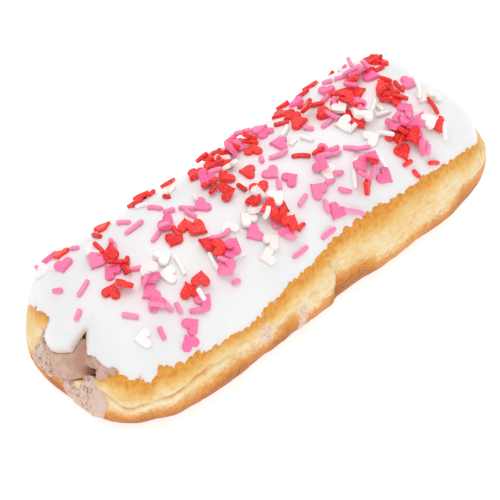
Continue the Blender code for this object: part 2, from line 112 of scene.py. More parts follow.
# Lower edge of the icing: across the open end by Y, along the front by X, along the back by X
NEAR_EDGE = (
    (-23.0, 27.2), (-21.4, 28.2), (-19.0, 29.6), (-14.3, 30.4), (-12.7, 31.2), (-10.8, 31.6),
    (-9.8, 31.0), (-9.0, 32.2), (-7.7, 33.7), (-6.2, 35.4), (-5.7, 34.0), (-5.6, 31.2),
    (-5.1, 29.7), (-3.5, 29.0), (-1.4, 28.1), (1.4, 27.2), (5.7, 27.5), (8.0, 28.3), (8.6, 31.6),
    (9.6, 32.5), (11.3, 32.6), (13.7, 31.7), (17.3, 29.6), (21.0, 27.6), (25.0, 25.4),
)
FRONT_EDGE = (
    (-74.0, 26.4), (-70.4, 25.4), (-67.6, 28.4), (-64.0, 27.4), (-44.0, 26.8), (-34.0, 25.8),
    (-20.0, 27.7), (-6.0, 29.0), (6.0, 31.4), (20.0, 31.5), (44.0, 30.3), (66.0, 28.6),
    (74.0, 25.4),
)
BACK_EDGE = (
    (-76.0, 25.0), (-66.0, 23.4), (-50.0, 26.6), (-30.0, 28.4), (-8.0, 27.0), (14.0, 29.6),
    (38.0, 28.2), (60.0, 26.4), (76.0, 25.0),
)
CORNER_Y = 24.0 * MM
EDGE_SMOOTHING = 0.3 * MM

# Tunnel for the cream: place along X, centre Y and Z, half width, half height
TUNNEL = (
    (-78.0, -2.3, 25.6, 10.6, 8.6),
    (-72.0, -2.3, 25.0, 10.3, 8.0),
    (-62.0, -1.6, 22.8, 9.8, 6.8),
    (-46.0, -0.6, 20.6, 11.4, 7.4),
    (-16.0, 0.6, 20.2, 12.4, 7.6),
    (18.0, 0.2, 20.4, 11.2, 7.0),
    (42.0, 0.0, 20.2, 8.4, 5.6),
)
TUNNEL_POWER = 2.2
MOUTH_SLANT = 0.65
SLANT_FROM = -64 * MM
SLANT_TO = -76 * MM
TUNNEL_END = 52 * MM
TUNNEL_END_SHARE = 0.55
TUNNEL_OVERRUN = 12 * MM
CREAM_GAP = 0.35 * MM
CREAM_TIP = -84.0 * MM

# Sprinkles
SEED = 215
HEART_WIDTH = 5.9 * MM
HEART_THICKNESS = 1.4 * MM
HEART_CURVE = (13, -5, -2, -1)
HEART_CURVE_SIDE = 16
HEART_CURVE_MIDDLE = -2.5
HEART_OUTLINE = (0, 50, 98, 180, 262, 310)
STICK_WIDTH = 1.6 * MM
STICK_SHORTEST = 2.4 * MM
STICK_COMMONEST = 3.8 * MM
STICK_LONGEST = 9.2 * MM
BARE_SHARE = 0.85
FAR_LIMIT = 72 * MM
HEAP_SPREAD = 4.0
PILED_IN_HEAP = 0.8
PILED_LOOSE = 0.1
CLOSE = 1.6 * MM
CLEAR = 4.5 * MM
TRIES = 60
LEAN_ALONE = 6
LEAN_PILED = 30
STEEPEST = 62
STICK_STEEPEST = 16

# How a candy comes to rest: how deep it sinks, lying and standing, how high it can stand,
# and what it can lean on
SINK = 0.34 * MM
SINK_STANDING = 0.9 * MM
CANDY_TOP = 51.2 * MM
STICK_SAMPLES = 5
STICK_DISC_SHARE = 0.13
HEART_DISC_SHARE = 0.44
LEAST_FACING = 0.35
NEIGHBOURS = 9 * MM

# Drifts of sprinkles: X, Y, spread, hearts, sticks, share red, share pink
DRIFTS = (
    (-70, 5, 4, 0, 3, 0.3, 0.7),
    (-57, 8, 1.9, 5, 3, 0.4, 0.4),
    (-56, 0, 2, 0, 3, 1.0, 0.0),
    (-65, -4, 2, 2, 0, 0.5, 0.5),
    (-56, -8, 2.4, 2, 2, 0.0, 1.0),
    (-46, -9, 3.4, 3, 1, 0.0, 0.0),
    (-61, -16, 3.2, 2, 3, 0.0, 0.8),
    (-49, -20, 3.2, 4, 4, 0.3, 0.4),
    (-39, -14, 1.6, 1, 0, 1.0, 0.0),
    (-36, -23, 7, 0, 2, 0.0, 0.0),
    (-66, 21, 4, 4, 3, 0.4, 0.4),
    (-48, 15, 3.4, 1, 1, 1.0, 0.0),
    (-38, 9, 4.2, 0, 4, 0.0, 0.9),
    (-36, 1, 2.2, 4, 2, 0.5, 0.5),
    (-30, 17, 4, 2, 1, 1.0, 0.0),
    (-29, -6, 2.6, 2, 0, 1.0, 0.0),
    (-26, 3, 3, 1, 3, 0.1, 0.9),
    (-30, -16, 2, 5, 2, 0.1, 0.9),
    (-22, 9, 3, 0, 3, 0.0, 0.4),
    (-20, -16, 4, 5, 3, 0.0, 0.6),
    (-9, -10, 3, 9, 3, 0.7, 0.1),
    (-14, 5, 2.4, 4, 2, 0.8, 0.2),
    (0, -3, 4.2, 3, 4, 0.4, 0.6),
    (-4, 13, 2.8, 8, 5, 0.6, 0.3),
    (5, 16, 3.2, 6, 7, 0.3, 0.45),
    (13, 6, 4, 1, 5, 0.0, 0.4),
    (-9, -23, 2.8, 2, 3, 0.1, 0.8),
    (8, -21, 4.2, 2, 4, 0.2, 0.8),
    (17, -15, 3.6, 1, 5, 0.0, 0.5),
    (26, -17, 2.6, 4, 6, 0.4, 0.5),
    (19, -4, 3, 2, 4, 0.3, 0.7),
    (27, 12, 2.6, 5, 3, 0.6, 0.4),
    (37, 2, 3, 9, 8, 0.45, 0.4),
    (39, -7, 2.8, 2, 4, 0.2, 0.2),
    (43, -15, 2.4, 3, 4, 0.9, 0.0),
    (50, -14, 2, 5, 2, 0.0, 1.0),
    (46, -24, 3, 2, 4, 0.4, 0.6),
    (58, -19, 2.2, 3, 2, 0.5, 0.4),
    (55, -3, 2.6, 2, 7, 0.9, 0.1),
    (62, -8, 2.8, 3, 1, 0.0, 0.1),
    (46, 8, 3.4, 3, 4, 0.1, 0.9),
    (57, 10, 2.6, 3, 3, 0.3, 0.7),
    (66, 11, 2.4, 1, 4, 0.9, 0.1),
    (63, 21, 3.6, 3, 3, 0.6, 0.2),
    (38, 22, 7, 2, 3, 0.4, 0.3),
    (-24, 21, 6, 2, 2, 0.4, 0.3),
)


def signed_power(value, power):
    return np.sign(value) * np.abs(value) ** power


def smooth_step(value, low, high):
    part = np.clip((value - low) / (high - low), 0.0, 1.0)
    return part * part * (3 - 2 * part)


def hill(value, centre, reach):
    return np.exp(-((value - centre) / reach) ** 2)


def plateau(value, start, full, fading, end):
    """1 between full and fading, 0 before the start and after the end."""
    return smooth_step(value, start, full) * (1 - smooth_step(value, fading, end))


def between(value, table):
    """Values read from a table of rising (place, amount) pairs, all in millimetres."""
    places, amounts = zip(*table)
    return np.interp(value / MM, places, amounts) * MM


def unit(vectors):
    length = np.linalg.norm(vectors, axis=-1, keepdims=True)
    return vectors / np.maximum(length, 1e-12)


# Surface of the dough bar, for whole arrays of angles at once

def plan_powers(angle):
    along = signed_power(np.cos(angle), 2 / PLAN_POWER)
    across = signed_power(np.sin(angle), 2 / PLAN_POWER)
    return along, across


def plan_outward(angle):
    along, across = plan_powers(angle)
    return unit(np.stack([along / LENGTH, across / WIDTH, np.zeros_like(along)], -1))


def plan_point(angle, share):
    along, across = plan_powers(angle)
    inset = WIDTH / 2 * (1 - share)
    x = along * (LENGTH / 2 - inset)
    y = across * (WIDTH / 2 - inset)
    swell = np.zeros_like(x)
    for side, place, reach, amount in SWELLS:
        swell += np.where(across * side > 0, amount * hill(x, place, reach) * np.abs(across), 0.0)
    outward = plan_outward(angle) * (swell * share)[..., None]
    return x + outward[..., 0], y + outward[..., 1]


def profile(angle):
    over = np.clip(angle, 0, math.pi / 2)
    under = np.clip(angle, -math.pi / 2, 0)
    share_over = np.maximum(np.cos(over), 0) ** (2 / CROWN_POWER)
    rise = WIDEST_HEIGHT + (HEIGHT - WIDEST_HEIGHT) * np.sin(over) ** (2 / CROWN_POWER)
    share_under = FLAT_SHARE + (1 - FLAT_SHARE) * np.maximum(np.cos(under), 0) ** (2 / FOOT_POWER)
    fall = WIDEST_HEIGHT * (1 - np.abs(np.sin(under)) ** (2 / FOOT_POWER))
    return np.where(angle >= 0, share_over, share_under), np.where(angle >= 0, rise, fall)


def side_relief(x, y, z):
    lapped = -np.tanh((x - FOLD_X) / FOLD_EDGE) * hill(x, FOLD_X, FOLD_REACH)
    amount = np.where(y < 0, FOLD_BULGE * lapped * hill(z, FOLD_HEIGHT, FOLD_HEIGHT_REACH), 0.0)
    for place_x, place_y, height, reach, bulge in BULGES:
        away = np.sqrt((x - place_x) ** 2 + (y - place_y) ** 2 + (z - height) ** 2)
        amount = amount + bulge * hill(away, 0.0, reach)
    return amount


def bar_point(plan_angle, profile_angle):
    plan_angle, profile_angle = np.broadcast_arrays(plan_angle, profile_angle)
    share, z = profile(profile_angle)
    x, y = plan_point(plan_angle, share)
    place = np.stack([x, y, z], -1)
    return place + plan_outward(plan_angle) * side_relief(x, y, z)[..., None]


ANGLE_STEP = 0.002


def bar_normal(plan_angle, profile_angle):
    plan_angle, profile_angle = np.broadcast_arrays(plan_angle, profile_angle)
    inner = np.clip(profile_angle, -math.pi / 2 + 2 * ANGLE_STEP, math.pi / 2 - 4 * ANGLE_STEP)
    along = bar_point(plan_angle + ANGLE_STEP, inner) - bar_point(plan_angle - ANGLE_STEP, inner)
    up = bar_point(plan_angle, inner + ANGLE_STEP) - bar_point(plan_angle, inner - ANGLE_STEP)
    normal = unit(np.cross(along, up))
    at_ridge = smooth_step(profile_angle, math.radians(84), math.radians(89.9))[..., None]
    return unit(normal * (1 - at_ridge) + np.array([0.0, 0.0, 1.0]) * at_ridge)


def crown_angle(height):
    rise = (height - WIDEST_HEIGHT) / (HEIGHT - WIDEST_HEIGHT)
    return np.arcsin(np.clip(rise, 0, 1) ** (CROWN_POWER / 2))


def edge_height(plan_angle):
    x, y = plan_point(plan_angle, np.ones_like(plan_angle))
    side = np.where(y < 0, between(x, FRONT_EDGE), between(x, BACK_EDGE))
    shifts = (-EDGE_SMOOTHING, 0, EDGE_SMOOTHING)
    across = sum(between(y + shift, NEAR_EDGE) for shift in shifts) / len(shifts)
    return np.where((x < 0) & (np.abs(y) < CORNER_Y), across, side)


# Stations round the bar: plan angles with their distance along the outline

OUTLINE_SAMPLES = 24000
MOUTH_CROWDING = 1.4
CROWDED_FROM = -60 * MM
CROWDED_TO = -74 * MM


class Outline:
    """Plan angle and distance round the bar, each as a function of the other."""

    def __init__(self):
        self.angle = np.linspace(0, 2 * math.pi, OUTLINE_SAMPLES + 1)
        x, y = plan_point(self.angle, np.ones_like(self.angle))
        steps = np.hypot(np.diff(x), np.diff(y))
        self.distance = np.concatenate([[0], np.cumsum(steps)])
        crowding = 1 + MOUTH_CROWDING * smooth_step(-x[1:], -CROWDED_FROM, -CROWDED_TO)
        self.crowded = np.concatenate([[0], np.cumsum(steps * crowding)])
        self.length = self.distance[-1]

    def angle_at(self, distance):
        return np.interp(distance % self.length, self.distance, self.angle)

    def distance_at(self, angle):
        return np.interp(angle, self.angle, self.distance)

    def stations(self, count):
        """Plan angles of this many stations, closer together round the mouth."""
        reach = self.crowded[-1] * np.arange(count) / count
        return np.interp(reach, self.crowded, self.angle)


OUTLINE = Outline()


# Mesh building

MERGED = 0.001 * MM


def add_object(name, data):
    made = bpy.data.objects.new(name, data)
    bpy.context.scene.collection.objects.link(made)
    return made


def new_piece(name, points, faces=(), edges=()):
    mesh = bpy.data.meshes.new(name)
    mesh.from_pydata(np.asarray(points).tolist(), edges, faces)
    mesh.shade_smooth()
    return add_object(name, mesh)


def row_faces(low, high):
    """Faces between two closed rows of point numbers; the lower may have three times as many."""
    faces = []
    count = len(high)
    if len(low) == count:
        for step in range(count):
            following = (step + 1) % count
            faces.append((low[step], low[following], high[following], high[step]))
        return faces
    for step in range(count):
        a, b, c = low[3 * step], low[3 * step + 1], low[3 * step + 2]
        d = low[(3 * step + 3) % len(low)]
        near, far = high[step], high[(step + 1) % count]
        faces += [(a, b, near), (b, c, far, near), (c, d, far)]
    return faces


def stacked_faces(rows):
    """Faces between closed rows of equal length, and the numbers of the points in each row."""
    count = len(rows[0])
    numbers = np.arange(len(rows) * count).reshape(-1, count).tolist()
    faces = []
    for low, high in zip(numbers, numbers[1:]):
        faces += row_faces(low, high)
    return faces, numbers


def close_up(piece, distance=MERGED):
    """Merge the points along the seams and turn every face outwards."""
    work = bmesh.new()
    work.from_mesh(piece.data)
    bmesh.ops.remove_doubles(work, verts=work.verts, dist=distance)
    bmesh.ops.dissolve_degenerate(work, edges=work.edges, dist=distance)
    bmesh.ops.recalc_face_normals(work, faces=work.faces)
    work.to_mesh(piece.data)
    work.free()
    piece.data.shade_smooth()


def points_of(piece):
    places = np.empty(len(piece.data.vertices) * 3)
    piece.data.vertices.foreach_get("co", places)
    return places.reshape(-1, 3)


def normals_of(piece):
    directions = np.empty(len(piece.data.vertices) * 3)
    piece.data.vertex_normals.foreach_get("vector", directions)
    return directions.reshape(-1, 3)


def move_points(piece, places):
    piece.data.vertices.foreach_set("co", np.asarray(places).ravel())
    piece.data.update()


def mark(piece, name, values, kind="FLOAT"):
    """Store one value for each point of the piece under a name that its material reads."""
    attribute = piece.data.attributes.new(name, kind, "POINT")
    field = "vector" if kind == "FLOAT_VECTOR" else "value"
    attribute.data.foreach_set(field, np.asarray(values, dtype=np.float32).ravel())


def settle(piece):
    """Swap the piece's mesh for the one that its modifiers give, and drop the modifiers."""
    view = bpy.context.evaluated_depsgraph_get()
    mesh = bpy.data.meshes.new_from_object(piece.evaluated_get(view))
    piece.modifiers.clear()
    piece.data = mesh


def remove(piece):
    bpy.data.objects.remove(piece, do_unlink=True)


def search_tree(piece):
    work = bmesh.new()
    work.from_mesh(piece.data)
    tree = BVHTree.FromBMesh(work)
    work.free()
    return tree


def point_tree(places):
    tree = KDTree(len(places))
    for number, place in enumerate(places):
        tree.insert(place, number)
    tree.balance()
    return tree


def nearest(tree, places):
    """Number of the tree's nearest point to each place, and how far away that is."""
    found = [tree.find(place) for place in places]
    return np.array([item[1] for item in found]), np.array([item[2] for item in found])


def rough(places, size, seed):
    """Smooth noise from about -1 to 1 at each place, its lumps this far apart."""
    return np.array([noise.noise(Vector(place)) for place in np.asarray(places) / size + seed])


# Node trees

def fill(tree, made, inputs):
    """Set a node's inputs from values, or join them to other nodes' outputs."""
    for key, value in inputs.items():
        if isinstance(value, bpy.types.NodeSocket):
            tree.links.new(value, made.inputs[key])
        else:
            made.inputs[key].default_value = value


def node(tree, kind, inputs=None, **settings):
    made = tree.nodes.new(kind)
    for name, value in settings.items():
        setattr(made, name, value)
    fill(tree, made, inputs or {})
    return made


def maths(tree, operation, *values):
    return node(tree, "ShaderNodeMath", dict(enumerate(values)), operation=operation).outputs[0]


def vector_maths(tree, operation, first, second):
    key = "Scale" if operation == "SCALE" else 1
    return node(tree, "ShaderNodeVectorMath", {0: first, key: second}, operation=operation).outputs[0]


def named(tree, name, data_type):
    """Value that each point of a piece carries under this name."""
    return node(tree, "GeometryNodeInputNamedAttribute", {"Name": name}, data_type=data_type).outputs[0]


def geometry_tree(name, inputs):
    """Empty geometry tree with named inputs: name, socket kind."""
    tree = bpy.data.node_groups.new(name, "GeometryNodeTree")
    tree.interface.new_socket("Geometry", in_out="INPUT", socket_type="NodeSocketGeometry")
    tree.interface.new_socket("Geometry", in_out="OUTPUT", socket_type="NodeSocketGeometry")
    for label, kind in inputs:
        tree.interface.new_socket(label, in_out="INPUT", socket_type="NodeSocket" + kind)
    return tree, tree.nodes.new("NodeGroupInput"), tree.nodes.new("NodeGroupOutput")


def dress(tree, given, result, geometry):
    """Give the geometry its finish and hand it on as what the tree makes."""
    inputs = {"Geometry": geometry, "Material": given.outputs["Finish"]}
    dressed = node(tree, "GeometryNodeSetMaterial", inputs)
    tree.links.new(dressed.outputs[0], result.inputs["Geometry"])


def add_node_modifier(piece, tree, values):
    """Put a geometry tree on the piece, its inputs set by name."""
    modifier = piece.modifiers.new(tree.name, "NODES")
    modifier.node_group = tree
    for item in tree.interface.items_tree:
        if item.item_type == "SOCKET" and item.in_out == "INPUT" and item.name in values:
            modifier[item.identifier] = values[item.name]


# Materials

PALE_CRUST = "F3DEB2"
YELLOW_CRUST = "EFCB88"
LIGHTEST_CRUST = "FFF2D8"
MOTTLED_CRUST = "E8C896"
BAND_YELLOW = "EFBE64"
BAND_LIGHT = "EBA846"
BAND_DEEP = "DC8C2A"
# Toast and scorch colours, which also paint the shade in the crease grooves, beside the fold and in the
# groove under the far ledge
TOAST_AND_SHADE = "E0862A"
SCORCH_AND_DEEP_SHADE = "B4602C"
FOOT_ORANGE = "DE9236"
FOOT_BROWN = "BC7026"
FOOT_DARK = "A25A22"
FOOT_FLECKS = "F2CC98"
# Painted highlight along the lip of the first crease
RIDGE_HIGHLIGHT = "FFF3CC"
CRUST_SPECKS = "E2A458"
DRIED_CREAM = "F0D8C8"
DRIED_CREAM_DEEP = "D8B49C"
CRUMB = "A0714C"
# Tints of the icing by mark, share and colour: its thin see-through edge, painted shade on the lobe's
# lip over the cream, and painted pink bounce light round the pink and red candy
ICING_TINTS = (("thin", 0.5, "EDE3E1"), ("veil", 0.75, "CDB2A4"), ("dye", 0.28, "FCDCE2"))
# Share of white specks on the candy: painted glints off the sugar grain, and pale grain
SUGAR_GLINTS_AND_SPECKS = 0.16
FLOOR_GLOW = 0.75


def linear(hex_colour):
    """Scene-linear colour of an sRGB hex value."""
    parts = [int(hex_colour[start:start + 2], 16) / 255 for start in (0, 2, 4)]
    bent = [part / 12.92 if part <= 0.04045 else ((part + 0.055) / 1.055) ** 2.4 for part in parts]
    return (*bent, 1.0)


class Look:
    """Material in the making, with short ways to add the nodes that its surface comes from."""

    def __init__(self, name):
        self.material = bpy.data.materials.new(name)
        self.material.use_nodes = True
        self.tree = self.material.node_tree
        self.place = node(self.tree, "ShaderNodeTexCoord").outputs["Object"]

    def pattern(self, size, detail=2.0, stretch=(1, 1, 1), roughness=0.5):
        """Noise with lumps of this many millimetres, drawn out by the stretch."""
        drawn = vector_maths(self.tree, "MULTIPLY", self.place, tuple(1 / part for part in stretch))
        inputs = {"Vector": drawn, "Scale": 1 / (size * MM), "Detail": detail, "Roughness": roughness}
        return node(self.tree, "ShaderNodeTexNoise", inputs).outputs["Fac"]

    def cells(self, size):
        """Distance from the middles of cells this many millimetres wide."""
        inputs = {"Vector": self.place, "Scale": 1 / (size * MM)}
        return node(self.tree, "ShaderNodeTexVoronoi", inputs).outputs["Distance"]

    def marked(self, name):
        """Value that the piece carries under this name."""
        return node(self.tree, "ShaderNodeAttribute", attribute_name=name).outputs["Fac"]

    def ranged(self, value, low, high, amount=1.0, curve="SMOOTHSTEP"):
        """0 to the amount as the value goes from low to high."""
        inputs = {"Value": value, "From Min": low, "From Max": high, "To Max": amount}
        return node(self.tree, "ShaderNodeMapRange", inputs, interpolation_type=curve).outputs["Result"]

    def times(self, first, second):
        return maths(self.tree, "MULTIPLY", first, second)

    def plus(self, *values):
        total = values[0]
        for value in values[1:]:
            total = maths(self.tree, "ADD", total, value)
        return total

    def blended(self, factor, first, second, kind="MIX"):
        """Mix of two colours, each a hex value or what another node gives."""
        ends = [linear(end) if isinstance(end, str) else end for end in (first, second)]
        inputs = {0: factor, 6: ends[0], 7: ends[1]}
        return node(self.tree, "ShaderNodeMix", inputs, data_type="RGBA", blend_type=kind).outputs[2]

    def finished(self, colour, roughness, specular, scatter=(), bumps=(), glow=0.0):
        """Material with this skin, scatter as share, reach by colour and scale in millimetres,
        and bumps as height, depth in millimetres and strength."""
        inputs = {"Metallic": 0.0, "Base Color": colour, "Roughness": roughness,
                  "Specular IOR Level": specular}
        if scatter:
            share, reach, scale = scatter
            inputs |= {"Subsurface Weight": share, "Subsurface Radius": reach,
                       "Subsurface Scale": scale * MM}
        if glow:
            inputs |= {"Emission Color": (1, 1, 1, 1), "Emission Strength": glow}
        for height, depth, strength in bumps:
            bump = {"Height": height, "Distance": depth * MM, "Strength": strength}
            if "Normal" in inputs:
                bump["Normal"] = inputs["Normal"]
            inputs["Normal"] = node(self.tree, "ShaderNodeBump", bump).outputs["Normal"]
        fill(self.tree, self.tree.nodes["Principled BSDF"], inputs)
        return self.material


def fried_crust():
    """Fried yeast dough: a golden band under the icing, a pale proofing ring, a browned foot.
    Frying fat leaves it satin, with fine blisters and pores."""
    look = Look("fried dough crust")
    streaks = look.pattern(1.7, 3.0, (2.6, 2.6, 1.0))
    patches = look.pattern(8, 2.0, (1.6, 1.6, 1))
    ribs = look.pattern(1.1, 3.0, (1, 1, 2.0))
    grain = look.pattern(0.7, 3.0)
    speck = look.pattern(0.42, 1.0)
    mottle = look.pattern(1.5, 4.0, (1.5, 1.5, 1.0), 0.65)
    fringe = look.pattern(0.9, 3.0, (1.6, 1.6, 1.0), 0.6)
    film_streaks = look.pattern(1.2, 4.0, (1, 1, 2.2))

    # Pale ring, and the golden band over it
    pale = look.blended(look.ranged(patches, 0.36, 0.68), PALE_CRUST, YELLOW_CRUST)
    pale = look.blended(look.ranged(streaks, 0.45, 0.75, 0.5), pale, YELLOW_CRUST)
    pale = look.blended(look.ranged(mottle, 0.5, 0.3, 0.35), pale, LIGHTEST_CRUST)
    in_band = look.plus(look.marked("into_band_mm"), look.times(ribs, 1.6), look.times(patches, 3.0))
    golden = look.blended(look.ranged(ribs, 0.34, 0.72), BAND_LIGHT, BAND_DEEP)
    golden = look.blended(look.ranged(grain, 0.55, 0.8), golden, BAND_LIGHT)
    skin = look.blended(look.ranged(in_band, -2.4, 2.4, 0.9), pale, BAND_YELLOW)
    skin = look.blended(look.ranged(in_band, 0.6, 4.6), skin, golden)
    # Toast, with painted shade in the crease grooves, beside the fold and under the far ledge
    streaked_toast_and_shade = look.times(look.marked("toast"), look.ranged(streaks, 0.1, 0.9))
    skin = look.blended(look.ranged(streaked_toast_and_shade, 0.05, 0.75), skin, TOAST_AND_SHADE)

    # Browned foot, and scorched places, some of them deep painted shade under the far ledge
    depth = look.plus(look.marked("into_foot_mm"), look.times(grain, 3.2), look.times(patches, 4.0),
                      look.ranged(fringe, 0.38, 0.62, 1.5))
    brown = look.blended(look.ranged(depth, 7.6, 11.6), FOOT_BROWN, FOOT_DARK)
    brown = look.blended(look.ranged(speck, 0.54, 0.7), brown, FOOT_ORANGE)
    brown = look.blended(look.ranged(grain, 0.62, 0.72, 0.6), brown, FOOT_FLECKS)
    skin = look.blended(look.ranged(depth, 1.4, 5.8), skin, FOOT_ORANGE)
    skin = look.blended(look.ranged(depth, 5.2, 9.0), skin, brown)
    scorch_and_deep_shade = look.times(look.marked("toast"), look.plus(streaks, 0.5))
    skin = look.blended(look.ranged(scorch_and_deep_shade, 1.0, 2.2), skin, SCORCH_AND_DEEP_SHADE)

    # Marks on the skin, a painted highlight along the crease lip, dried films of cream and the torn
    # crumb
    skin = look.blended(look.marked("pale"), skin, pale)
    # Painted highlight along the lip of the first crease
    skin = look.blended(look.times(look.marked("ridge"), 0.55), skin, RIDGE_HIGHLIGHT)
    skin = look.blended(look.ranged(speck, 0.66, 0.8, 0.25), skin, CRUST_SPECKS)
    skin = look.blended(look.ranged(mottle, 0.5, 0.72, 0.5), skin, MOTTLED_CRUST, "MULTIPLY")
    filmed = look.ranged(look.times(look.marked("film"), film_streaks), 0.27, 0.36, 0.88)
    dried = look.blended(look.ranged(grain, 0.4, 0.6), DRIED_CREAM_DEEP, DRIED_CREAM)
    skin = look.blended(filmed, skin, dried)
    skin = look.blended(look.marked("crumb"), skin, CRUMB)
    roughness = look.plus(look.ranged(grain, 0.2, 0.9, 0.16, "LINEAR"), 0.44)
    return look.finished(skin, roughness, 0.24, (0.10, (1.0, 0.5, 0.2), 1.2), (
        (streaks, 0.6, 0.5),
        (ribs, 0.36, 0.5),
        (look.ranged(look.cells(1.9), 0.0, 0.3), 0.2, 0.5),
        (grain, 0.28, 0.5),
    ))


def set_icing():
    """Set white sugar icing: poured, so smooth with a soft satin skin, a little see-through at its
    thin edge, with painted shade on the lobe's lip over the cream and painted pink bounce light
    where pink and red candy lies on it."""
    look = Look("set sugar icing")
    clouds = look.pattern(14, 1.0)
    white = look.blended(look.ranged(clouds, 0.3, 0.7), "F2F3F3", "EEEFEF")
    for name, share, tint in ICING_TINTS:
        white = look.blended(look.times(look.marked(name), share), white, tint)
    return look.finished(white, 0.36, 0.42, (0.35, (1.0, 0.94, 0.9), 2.4), (
        (clouds, 1.6, 0.25),
        (look.pattern(2.2), 0.1, 0.25),
    ))


def whipped_cream():
    """Whipped chocolate cream: matt, pale brown, with burst air bells, smeared streaks and painted
    shade in the dents at the mouth.
    """
    look = Look("whipped chocolate cream")
    mottle = look.pattern(2.4, 3.0)
    fine = look.pattern(0.5)
    brown = look.blended(look.ranged(mottle, 0.35, 0.7), "D0AE9A", "C29A84")
    brown = look.blended(look.ranged(fine, 0.58, 0.78), brown, "AE866F")
    brown = look.blended(look.marked("thin"), brown, "E8CDBE")
    # Painted shade in the cream's dents, and the colour of the pits in the smears
    brown = look.blended(look.times(look.marked("pitted"), 0.7), brown, "AC7860")
    return look.finished(brown, 0.62, 0.3, (0.12, (1.0, 0.7, 0.5), 1.2), (
        (mottle, 0.5, 0.6),
        (look.ranged(look.cells(1.3), 0.05, 0.3), 0.14, 0.7),
        (fine, 0.14, 0.6),
    ))


def pressed_candy(name, light, deep, gloss):
    """Pressed or drawn sugar candy with a dyed, faintly grainy skin. Its sugar grain of about
    0.15 mm is drawn at 0.45 mm, as finer grain would not show."""
    look = Look(name)
    grain = look.pattern(0.45)
    colour = look.blended(look.marked("shade"), light, deep)
    colour = look.blended(look.ranged(grain, 0.55, 0.8), colour, light)
    # White specks: painted glints off the sugar grain, and pale grain
    colour = look.blended(look.ranged(grain, 0.52, 0.72, SUGAR_GLINTS_AND_SPECKS), colour, "FFFFFF")
    return look.finished(colour, gloss, 0.45, (0.15, (1.0, 0.4, 0.4), 0.8), ((grain, 0.2, 0.6),))


def plain_floor():
    """Matt white board, faintly lit from below so that shadows stay light."""
    look = Look("white board")
    colour = look.blended(look.pattern(1.5, 1.0), "D4D4D4", "D1D1D1")
    return look.finished(colour, 0.9, 0.1, glow=FLOOR_GLOW)


# Dough

DOUGH_STATIONS = 540
UNDER_SHARES = (0.0, 0.25, 0.5, 0.75)
FOOT_ROWS = 26
SIDE_ROWS = 52
HIDDEN_ROWS = 10
EDGE_OVERLAP = math.radians(4)

# Creases of the front side: X and height of the line, where along X it starts, is full, fades
# and ends, and how far the dough below the line stands out, or above it where less than 0
CREASES = (
    (((-82.0, 23.5), (-79.3, 19.9), (-78.2, 17.8), (-75.6, 15.4), (-73.2, 15.9), (-71.2, 16.8),
      (-67.2, 17.0), (-63.6, 18.2), (-55.2, 19.7), (-51.3, 20.3), (-46.3, 20.1), (-42.6, 19.2)),
     (-86, -80, -46, -38), 0.55),
    (((56.0, 18.0), (60.0, 18.4), (73.0, 18.6), (80.0, 20.2)), (54, 61, 79, 84), -1.1),
)

# Waver of the crease lines: reach, length, start
CREASE_WANDER = ((0.3 * MM, 2.3 * MM, 0), (0.2 * MM, 0.9 * MM, 1))

# How far apart along X a crease line is averaged, in millimetres
CREASE_SHIFTS = (-1.6, -0.8, 0, 0.8, 1.6)
CREASE_SIDE = -10 * MM
CREASE_GROOVE = 0.35 * MM
CREASE_WIDTH = 0.5 * MM
FOLD_GROOVE = 1.6 * MM

# Line of the fold: height, X
FOLD_LINE = (
    (0.0, 2.0), (11.9, 2.5), (16.3, 2.5), (18.0, 3.3),
    (20.1, 4.0), (22.5, 3.3), (24.3, 2.5), (26.2, 1.3),
)

# Golden band under the icing: X along the front, depth of the band
BAND_DEPTHS = (
    (-84, 4.0), (-78, 5.0), (-73, 5.6), (-69, 4.4), (-64, 4.8), (-57, 3.2), (-42, 2.8), (-34, 3.4),
    (-25, 5.2), (-15, 4.0), (-9, 5.2), (0, 4.0), (12, 4.8), (25, 5.8), (36, 3.6), (44, 4.2),
    (54, 3.0), (62, 4.2), (74, 2.6), (84, 2.4),
)

# Top of the browned foot: X along the front, height
FOOT_TOPS = (
    (-84, 13.4), (-78, 13.6), (-75, 13.4), (-71, 15.0), (-66, 14.4), (-61, 15.3),
    (-56, 14.5), (-50, 15.2), (-44, 16.8), (-38, 16.2), (-28, 14.2), (-19, 17.2),
    (-9, 13.0), (-1, 13.2), (3, 18.2), (8, 16.4), (16, 16.2), (23, 13.0),
    (34, 11.8), (46, 13.4), (54, 12.8), (61, 17.5), (70, 16.6), (84, 15.0),
)

# Patches of the side, toast and painted shade (the groove under the far ledge, beside the fold): X, Y,
# height, reach along X, reach up, strength. Beyond 1 they are scorched, and under the far ledge that is
# deep painted shade.
TOAST_AND_SHADE_PATCHES = (
    (-73, -24, 21, 6, 2.4, 0.5),
    (-82, 2.6, 10.6, 5.4, 3.6, 2.5),
    (7, -30, 11, 4, 5.5, 0.9),
    (-8, -30, 20, 5, 2.0, 0.45),
    (-20, -30, 17, 5.5, 3.8, 0.7),
    (-2, -30, 14, 6, 4.5, 0.6),
    (66, -30, 14, 8, 4.0, 0.9),
    (73, -27, 15.8, 5, 2.6, 1.4),
    (79, -22, 17.0, 4, 2.6, 1.3),
    (30, 28, 22, 14, 3.0, 0.5),
    (-40, 30, 16, 12, 3.0, 0.5),
    (81, 6, 20, 8, 3.5, 0.6),
)
PALE_PATCHES = (
    (-80, 18, 22, 6, 5.0, 0.9),
    (-76, 22, 20, 6, 4.0, 0.7),
    (68, -29, 21.5, 8, 2.0, 0.7),
    (80, -20, 25, 7, 5.0, 0.8),
)

FILM_SIDE = -15 * MM

